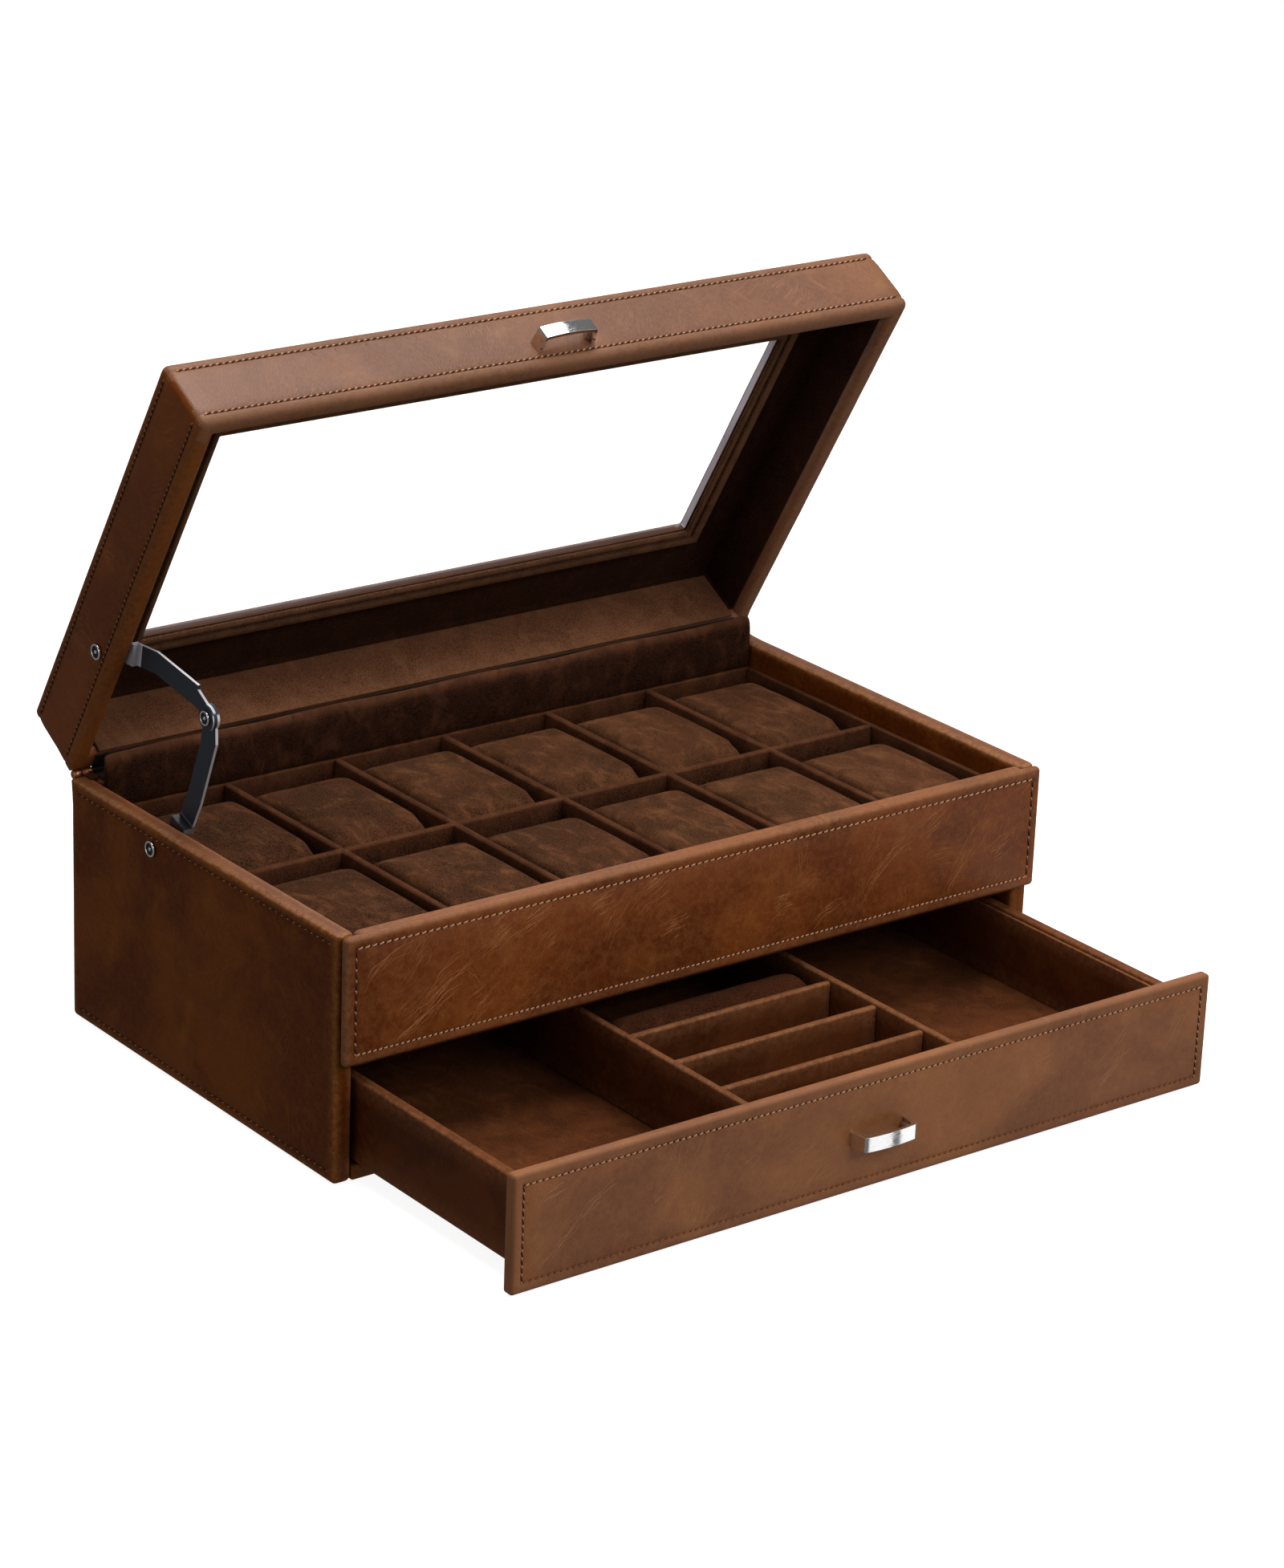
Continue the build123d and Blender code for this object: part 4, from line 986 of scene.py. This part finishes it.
# ---- drawer
BAY_BACK = 160.5
front_lo, front_hi = (-163.2, -5.5, 1), (163.2, -0.35, 47)
clad("drawer_front", front_lo, front_hi, 1.5, FRONT, "leather_front", "drawer", rows=FRONT_ROWS, crown=CROWN)
drawer_runs = board_runs(front_lo, front_hi, FRONT_ROWS)
for sign, side in BOTH_SIDES:
    x0, x1 = sorted((sign * 150.5, sign * 155))
    clad(f"drawer_side_{side}", (x0, -0.2, 6.5), (x1, 165, 40), 1.4, DRAWER_SIDE, body="drawer", step=8)
    x0, x1 = sorted((sign * 149.3, sign * 150.6))
    suede_board(f"drawer_lining_{side}", (x0, 0, 9.5), (x1, BAY_BACK, 38.6), "drawer", 0.55, NUBUCK)
    x0, x1 = sign * 49 - 1.5, sign * 49 + 1.5
    suede_board(f"drawer_divider_{side}", (x0, 0, 9.4), (x1, BAY_BACK, 40), "drawer", material=NUBUCK)
suede_board("drawer_back", (-150.5, BAY_BACK, 6.5), (150.5, 165, 40), "drawer")
slots = [
    board("slot", (-47.5, y - 1.5, 9.4), (47.5, y + 1.5, 39.2), 1.3, "drawer", uneven=0.2, step=7)
    for y in (27.3, 54.6, 81.9)
]
dress(joined("drawer_cross_dividers_suede", slots), NUBUCK, "drawer", "suede", "drawer_cross_dividers")
floor_lo, floor_hi = (-150.5, 0, 6.5), (150.5, BAY_BACK, 9.5)
clad("drawer_floor", floor_lo, floor_hi, 0.4, SUEDE_DRAWER, "suede", "drawer", "suede")

ROLL_Y, ROLL_R, ROLL_TOP, ROLL_LOW, ROLL_HALF = 95.8, 12.0, 38.5, 9.5, 47.1
ROLL_SIDES = 24


def ring_roll():
    """A stuffed suede roll with rounded ends, flat where it rests."""
    ends = [1.0, 0.99, 0.96, 0.9, 0.8, 0.6, 0.4, 0.2]
    stations = [-share for share in ends] + [0.0] + ends[::-1]
    verts, middle, half = [], (ROLL_TOP + ROLL_LOW) / 2, (ROLL_TOP - ROLL_LOW) / 2
    for place in stations:
        x = place * ROLL_HALF
        to_end = ROLL_HALF - abs(x)
        scale = (1 - max(0.0, 1 - to_end / 8.0) ** 2.5 * 0.45) if to_end < 8 else 1.0
        for k in range(ROLL_SIDES):
            a = 2 * pi * k / ROLL_SIDES
            y = ROLL_R * cos(a) * scale
            z = middle + half * sin(a) * scale + 0.25 * sin(x * 0.3 + a * 2)
            verts.append((x, ROLL_Y + y, max(z, ROLL_LOW)))
    faces = tube_faces(len(stations), ROLL_SIDES)
    piece = weld(new_mesh("ring_roll_suede", verts, faces, DRAWER), turn_out=True)
    subdivide(piece)
    return piece


roll = dress(ring_roll(), ROLL_SUEDE, "drawer", "suede", "ring_roll")


# ---- chrome pulls
PULL_LEN, PULL_W, PULL_OUT, PULL_T, PULL_BOW, PULL_FOOT, PULL_IN = 26.5, 5.8, 8.6, 1.5, 0.8, 3.2, 1.1


def mirrored(points):
    return [(-x, y) for x, y in reversed(points)]


def pull(name, face_y, centre_z, body, node):
    """A bowed strap with square shoulders on two feet, its edges broken."""
    half, steps = PULL_LEN / 2, 12
    shoulder, strap, round_r = face_y - PULL_OUT + PULL_BOW, PULL_LEN / 2 - PULL_IN, 1.1
    outer, inner = [(-half, face_y)], [(-half + PULL_FOOT * 0.5, face_y)]
    for turn in np.radians((0, 22.5, 45, 67.5)):
        outer.append((-strap + round_r * (1 - cos(turn)), shoulder + round_r * (1 - sin(turn))))
        inner.append((-strap + PULL_T + 0.1 * sin(turn), shoulder + PULL_T + 0.2 * (1 - sin(turn))))
    shares = [-1 + 2 * k / steps for k in range(steps + 1)]
    bows = [shoulder - PULL_BOW * (1 - share**2) for share in shares]
    outer += [((strap - round_r) * share, bow) for share, bow in zip(shares, bows)] + mirrored(outer)
    bowed = [((strap - PULL_T - 0.2) * share, bow + PULL_T) for share, bow in zip(shares, bows)]
    inner += bowed + mirrored(inner)
    verts, faces = [], []
    for z in (centre_z - PULL_W / 2, centre_z + PULL_W / 2):
        verts += [(x, y, z) for x, y in outer + inner]
    count = len(outer)
    for k in range(count - 1):
        a, b, c, d = k, k + 1, count + k + 1, count + k
        faces.append((a, b, c, d))
        faces.append(tuple(2 * count + i for i in (d, c, b, a)))
        faces.append((a, 2 * count + a, 2 * count + b, b))
        faces.append((d, c, 2 * count + c, 2 * count + d))
    faces.append((0, count, 3 * count, 2 * count))
    faces.append((count - 1, 3 * count - 1, 4 * count - 1, 2 * count - 1))
    piece = weld(new_mesh(name, verts, faces, PLACES[body]), turn_out=True)
    bevel = piece.modifiers.new("bevel", "BEVEL")
    bevel.width, bevel.segments, bevel.limit_method, bevel.angle_limit = 0.7 * MM, 3, "ANGLE", radians(40)
    bevel.harden_normals, bevel.material = True, 1
    dress(piece, CHROME, body, "chrome", node)
    # the bevels take the edge chrome: a painted highlight along the strap's edges
    piece.data.materials.append(CHROME_EDGE_GLINT)
    coat(nodes[f"{node}_screws"], STEEL)


pull("drawer_pull_chrome", -5.5, 22.8, "drawer", "drawer_handle")
pull("lid_pull_chrome", -189.5, 10.25, "lid", "lid_handle")

# ---- lid stay
LID_PIVOT, ELBOW, CASE_PIVOT = (-155, 70.80, 155.89), (-155, 10.22, 146.54), (-155, 32.42, 89.40)


def strip_steel(name, pivot, plate_at, plate, bright):
    """Blackened strip steel with its cut edges painted bright, bare metal and a painted highlight; the
    cranked plate at its wall end takes the given plate colour, and a painted highlight runs along its fold.
    """
    p = Paint(name)
    along = (Vector(ELBOW) - Vector(pivot)).normalized()
    across = Vector((1, 0, 0)).cross(along).normalized()
    place = p.place()
    fine = p.noise(place, 700, 3)
    facing = p.vector("DOT_PRODUCT", p.add("TexCoord").outputs["Normal"], tuple(across))
    edge = p.span(p.absolute(facing), 0.6, 0.8)
    away = p.vector("SUBTRACT", place, tuple(v * MM for v in pivot))
    run = p.vector("DOT_PRODUCT", away, tuple(along))
    at_plate = p.span(run, (plate_at + 0.2) * MM, plate_at * MM)
    painted_fold_glint = p.span(p.absolute(p.math("SUBTRACT", run, plate_at * MM)), 0.0006, 0.0004)
    face = p.mix(at_plate, p.mix(fine, rgb(30, 36, 46), rgb(44, 50, 62)), plate)
    shows = p.math("MAXIMUM", edge, p.times(painted_fold_glint, 0.8 * bright))
    shows = p.times(shows, p.span(at_plate, 0.0, 1.0, 1.0, bright))
    p.set(Base_Color=p.mix(shows, face, rgb(235, 235, 240)))
    p.set(Metallic=p.span(shows, 0.0, 1.0, 0.2, 0.45), Roughness=p.span(shows, 0.0, 1.0, 0.45, 0.3))
    return p.material


# the upper strip's plate is painted light grey, with its edges and fold at full brightness: painted light
coat(nodes["stay_link_upper"], strip_steel("stay_strip_upper", LID_PIVOT, 14.0, rgb(176, 176, 184), 1.0))
LOWER_STRIP = strip_steel("stay_strip_lower", CASE_PIVOT, 12.5, rgb(40, 38, 42), 0.25)
for name in ("stay_link_lower", "stay_washer"):
    coat(nodes[name], LOWER_STRIP)


def rivet(node, body):
    """A rivet with a cupped ring head outside and a flat head at its other end."""
    lo, hi = (np.array(v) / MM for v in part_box(node))
    centre = (lo[0], (lo[1] + hi[1]) / 2, (lo[2] + hi[2]) / 2)
    r, length, shaft = (hi[2] - lo[2]) / 2, hi[0] - lo[0], 1.45
    head = [(0.05, -0.35), (0.6, -0.35), (0.8, -0.2), (0.85, 0.1), (r * 0.66, 0.1), (r * 0.74, -0.35)]
    head += [(r * 0.84, -0.55), (r * 0.93, -0.5), (r, -0.2), (r, 0.35), (shaft, 0.4)]
    profile = head + [(shaft, length - 0.7), (r * 0.95, length - 0.7), (r * 0.95, length - 0.15)]
    profile += [(r * 0.85, length), (0.05, length)]
    # the cup between the pin and the ring is painted near black: painted shade in the recess of the head
    turned(f"{node}_chrome", profile, centre, 1, CHROME, body, "chrome", node, dark=(2, 3, 4))


rivet("stay_rivet_case", "case")
rivet("stay_rivet_lid", "lid")
rivet("stay_rivet_middle", "stay_lower")

# ---- stitching
lid_lo, lid_hi = (LID_OUT[0], LID_OUT[2], RIM_Z), (LID_OUT[1], LID_OUT[3], LID_TOP)


def sew(name, runs, material, body, pitch, length, radius, shift=0.5, slot_name="leather_front"):
    """A row of stitches on each run; pitch and length are those of one stitch."""
    verts, faces = stitches(runs, pitch, length, radius, shift)
    dress(new_mesh(name, verts, faces, PLACES[body]), material, body, slot_name)


def sew_dotted(name, runs, body, pitch=4.2, light=THREAD_TAN, slot_name="leather_front"):
    """Dark thread lying in its groove, with a light dot where each stitch goes in."""
    sew(f"{name}_thread", runs, THREAD_DARK, body, pitch, pitch * 0.72, 0.25, slot_name=slot_name)
    sew(f"{name}_dots", runs, light, body, pitch, 1.15, 0.26, 0.0, slot_name)


def upright(runs):
    return [run for run in runs if abs(run[1][2] - run[0][2]) > 1]


def level(runs, upper):
    """The level rows: the upper ones or the lower ones."""
    flat = [run for run in runs if abs(run[1][2] - run[0][2]) <= 1]
    middle = sum(run[0][2] for run in flat) / len(flat)
    return [run for run in flat if (run[0][2] > middle) == upper]


BAND_PITCH, BAND_LOW_PITCH, DRAWER_PITCH, LID_PITCH = 3.05, 2.4, 2.7, 2.8
band_top, band_low = level(case_runs, True), level(case_runs, False)
drawer_top, drawer_low = level(drawer_runs, True), level(drawer_runs, False)
lid_front, lid_sides, lid_back = (
    board_runs(lid_lo, lid_hi, rows)
    for rows in (edge_rows(1, -1, 2), edge_rows(0, -1, 2) + edge_rows(0, 1, 2), edge_rows(1, 1, 2))
)
sew("stitching_band_top", band_top, THREAD_TAN, "case", BAND_PITCH, 2.35, 0.29)
sew("stitching_band_low", band_low, THREAD_TAN, "case", BAND_LOW_PITCH, 1.75, 0.29)
# dark dots between the stitches: painted shade in the stitch holes
sew("stitch_hole_shade_band_top", band_top, RECESS_SHADE, "case", BAND_PITCH, 0.8, 0.27, 0.06)
sew("stitch_hole_shade_band_low", band_low, RECESS_SHADE, "case", BAND_LOW_PITCH, 0.8, 0.27, 0.06)
sew_dotted("stitching_band_ends", upright(case_runs), "case")
sew_dotted("stitching_case_sides", case_dark_runs, "case", 3.9, THREAD_HONEY, "leather_side")
sew("stitching_drawer_top", drawer_top, THREAD_TAN, "drawer", DRAWER_PITCH, 1.85, 0.27)
# dark dots between the stitches: painted shade in the stitch holes
sew("stitch_hole_shade_drawer", drawer_top, RECESS_SHADE, "drawer", DRAWER_PITCH, 0.75, 0.25, 0.06)
sew("stitching_drawer_low", drawer_low, THREAD_BROWN, "drawer", DRAWER_PITCH, 1.7, 0.27)
sew_dotted("stitching_drawer_ends", upright(drawer_runs), "drawer", 3.2)
sew("stitching_lid", lid_front + lid_sides + lid_back, THREAD_DARK, "lid", LID_PITCH, 2.2, 0.3)
sew("stitching_lid_sides", lid_sides, THREAD_HONEY, "lid", LID_PITCH, 1.1, 0.31, 0.0)
sew("stitching_lid_front", lid_front, THREAD_TAN, "lid", LID_PITCH, 1.5, 0.3, 0.0)


# ---- creases: short tapered ribs that stand a hair above the leather
def crease_paths(draw, bundles):
    """Centre lines round each bundle's centre, as arrays of (u, v, half width) in millimetres.

    Each bundle is (centre, angle in degrees, length, spread, how many).
    """
    paths = []
    for (at_u, at_v), angle, length, spread, count in bundles:
        bow = draw.uniform(-0.2, 0.05)
        for _ in range(round(1.7 * count)):
            reach = length * draw.uniform(0.15, 1.0)
            slide, off = draw.normal(0, 0.35) * length, draw.normal(0, 0.65) * spread
            way = radians(angle + draw.normal(0, 5))
            thick, first, second = draw.uniform(0.06, 0.17), *draw.uniform(0, 2 * pi, 2)
            share = np.linspace(-1, 1, max(7, int(reach * 2.2)))
            along = slide + share * reach
            across = off + bow * along**2 / length
            across += 0.28 * np.sin(along * 0.55 + first) + 0.12 * np.sin(along * 1.7 + second)
            u = at_u + along * cos(way) - across * sin(way)
            v = at_v + along * sin(way) + across * cos(way)
            paths.append(np.stack([u, v, thick * (1.02 - share**2) ** 0.7], -1))
    return paths


def crease_ribs(part, seed, bundles, axis, lo, hi, margins, lift, colour, body, slot_name="leather_front"):
    """Ribs on a board's face that looks to the minus side of axis, kept the margins in from its edges."""
    verts, faces, u_axis = [], [], 1 - axis
    u0, u1 = lo[u_axis] + margins[0], hi[u_axis] - margins[0]
    v0, v1 = lo[2] + margins[1], hi[2] - margins[1]
    for path in crease_paths(np.random.default_rng(seed), bundles):
        u, v = path[:, 0], path[:, 1]
        path = path[(u > u0) & (u < u1) & (v > v0) & (v < v1)]
        if len(path) < 4:
            continue
        step = np.gradient(path[:, :2], axis=0)
        step /= np.linalg.norm(step, axis=1, keepdims=True)
        side = np.stack([-step[:, 1], step[:, 0]], -1)
        base = len(verts)
        for k, (u, v, half) in enumerate(path):
            for share, rise in ((-1, -0.12), (0, 0.05 + 0.25 * half), (1, -0.12)):
                point = np.zeros(3)
                point[u_axis], point[2] = u + share * half * side[k, 0], v + share * half * side[k, 1]
                point[axis] = lo[axis]
                point[axis] -= lift(point) + rise
                verts.append(point)
        for k in range(len(path) - 1):
            a, b = base + 3 * k, base + 3 * k + 3
            faces += [(a, b, b + 1, a + 1), (a + 1, b + 1, b + 2, a + 2), (a + 2, b + 2, b, a)]
        last = len(verts) - 3
        faces += [(base, base + 1, base + 2), (last + 2, last + 1, last)]
    piece = weld(new_mesh(f"creases_{part}", verts, faces, PLACES[body]), turn_out=True)
    dress(piece, metal(f"crease_{part}", colour, 0.5, 0.0), body, slot_name)


def board_lift(lo, hi, face_axes, crown):
    """How far a board's face stands out of its plane, as board() makes it."""
    def lift(point):
        near = min(min(point[k] - lo[k], hi[k] - point[k]) for k in face_axes)
        uneven = float(wobble(point, UNEVEN)) * min(max(near / UNEVEN_IN, 0), 1)
        return uneven + crown * (1 - np.exp(-near / CROWN_IN))
    return lift


BAND_CREASES = [
    ((-149.5, 85.5), 37, 11, 3, 6), ((-133, 86), 50, 8, 5, 7), ((-134.5, 57.5), 34, 10, 2, 5),
    ((-124, 69.5), 38, 13, 4, 10), ((-123, 78), 35, 7, 2, 4), ((-128, 64), 36, 9, 4, 6),
    ((-98, 83.5), 35, 9, 3.5, 9), ((-82, 88.5), 20, 10, 2.5, 6), ((-113, 84), 86, 6, 2, 3),
    ((-109, 71), -61, 7, 1.5, 3), ((-104, 62), 36, 9, 4, 7), ((-46, 79), 56, 7, 4, 8),
    ((-76, 79), 42, 6, 4, 5), ((-51, 86), 24, 7, 4, 6), ((-29, 89), 34, 7, 5, 11),
    ((42.5, 84), 88, 7, 2.5, 4), ((35, 68.5), 16, 6, 5, 12), ((-17, 71), 20, 6, 3.5, 9),
    ((84, 73), 46, 15, 2, 6), ((57, 59.5), 30, 9, 2.5, 5), ((125.5, 67.5), 50, 15, 3, 6),
    ((144, 66), 26, 9, 4, 5), ((74, 66), -66, 7, 3, 5), ((108, 86), 30, 7, 4, 5),
]
DRAWER_CREASES = [
    ((-138, 20), 44, 14, 2, 5), ((-126, 30), 32, 9, 2.5, 5), ((-146, 37), 20, 5, 2, 4),
    ((-100, 24), 40, 6, 4, 3), ((112, 16), 44, 13, 2, 4), ((118, 30), 52, 6, 4, 4), ((80, 29), 30, 5, 3, 4),
    ((146, 30), 60, 8, 4, 4),
]
SIDE_CREASES = [
    ((20, 74), -50, 10, 5, 6), ((-58, 40), -58, 14, 5, 6), ((66, 46), -62, 12, 4, 5),
    ((-20, 60), -35, 8, 5, 4),
]
LID_CREASES = [
    ((-124, 17), 66, 8, 4, 9), ((-110, 15), 40, 6, 4, 8), ((-96, 19), 118, 8, 6, 12),
    ((-80, 16), 128, 7, 5, 10), ((-60, 18), 120, 6, 4, 5), ((-142, 14), 116, 6, 3, 2),
    ((36, 17), 60, 7, 7, 12), ((90, 18), 128, 10, 3, 5), ((130, 17), 118, 7, 3, 4),
    ((155, 17), 122, 7, 3, 5),
]

CREASE_IN = STITCH_IN + 1
LID_LIFT = 0.12
crease_ribs(
    "band", 3, BAND_CREASES, 1, band_lo, band_hi, (CREASE_IN, CREASE_IN),
    board_lift(band_lo, band_hi, (0, 2), CROWN), (188, 120, 64), "case",
)
crease_ribs(
    "drawer", 5, DRAWER_CREASES, 1, front_lo, front_hi, (CREASE_IN, CREASE_IN),
    board_lift(front_lo, front_hi, (0, 2), CROWN), (192, 136, 92), "drawer",
)
crease_ribs(
    "side", 7, SIDE_CREASES, 0, left_lo, left_hi, (4, CREASE_IN),
    board_lift(left_lo, left_hi, (1, 2), 0.0), (126, 70, 28), "case", "leather_side",
)
crease_ribs(
    "lid", 9, LID_CREASES, 1, lid_lo, lid_hi, (5, CREASE_IN + 0.2),
    lambda point: LID_LIFT, (150, 100, 62), "lid",
)


# ---- floor, backdrop and lights
def glowing(name, glow, diffuse):
    p = Paint(name)
    p.set(Base_Color=(diffuse, diffuse, diffuse, 1), Roughness=1.0, Specular_IOR_Level=0.0)
    p.set(Emission_Color=(1, 1, 1, 1), Emission_Strength=glow)
    return p.material


FLOOR_HALF = 6000.0
square = [(x * FLOOR_HALF, y * FLOOR_HALF) for x, y in ((-1, -1), (1, -1), (1, 1), (-1, 1))]
floor = new_mesh("floor", [(x, y, -0.2) for x, y in square], [(0, 1, 2, 3)])
backdrop = new_mesh(
    "backdrop", [(x, y, z) for z in (-1.0, 9000.0) for x, y in square],
    [(0, 1, 5, 4), (1, 2, 6, 5), (2, 3, 7, 6), (3, 0, 4, 7)],
)
floor.data.materials.append(glowing("floor", 0.9, 0.5))
backdrop.data.materials.append(glowing("backdrop", 1.0, 0.0))
for stage in (floor, backdrop):
    stage.visible_diffuse = stage.visible_glossy = stage.visible_shadow = False

world = bpy.data.worlds.new("studio")
scene.world = world
world.use_nodes = True
background = world.node_tree.nodes["Background"].inputs
background["Color"].default_value = (1, 1, 1, 1)
background["Strength"].default_value = 0.16
scene.view_settings.view_transform = "Standard"


def softbox(name, at, aim, size, power, roll=0.0):
    """A rectangular light that looks from at to aim, rolled by degrees about that line."""
    light = bpy.data.lights.new(name, "AREA")
    light.shape, light.size, light.size_y, light.energy = "RECTANGLE", size[0], size[1], power
    holder = placed(name, light)
    holder.location = at
    turn = (Vector(aim) - Vector(at)).to_track_quat("-Z", "Y").to_matrix()
    holder.rotation_euler = (turn @ Matrix.Rotation(radians(roll), 3, "Z")).to_euler()


# The two low ones stand below the floor, which casts no shadow.
softbox("overhead", (0.21, 0.15, 1.76), (0, 0, 0.1), (1.1, 1.5), 28, roll=24)
softbox("key", (0.35, -1.7, 1.3), (0, 0, 0.05), (1.0, 0.8), 12)
softbox("low_left", (0.62, -1.20, -0.53), (0, -0.2, 0.03), (0.36, 0.8), 0.9, roll=-14)
softbox("low_right", (0.97, -0.88, -0.53), (0, -0.2, 0.03), (0.34, 0.8), 0.9, roll=12)
softbox("edge_high", (1.35, -0.75, 1.35), (0, -0.2, 0.03), (1.9, 0.45), 6.0, roll=30)
softbox("edge_low", (1.15, -1.6, 0.35), (0, -0.1, 0.2), (0.6, 0.2), 1.0)
softbox("back_card", (1.5, 1.9, 0.95), (0, 0, 0.1), (1.4, 0.8), 3.2)
softbox("left_fill", (-1.9, -0.1, 0.5), (0, 0, 0.1), (1.2, 1.0), 3)
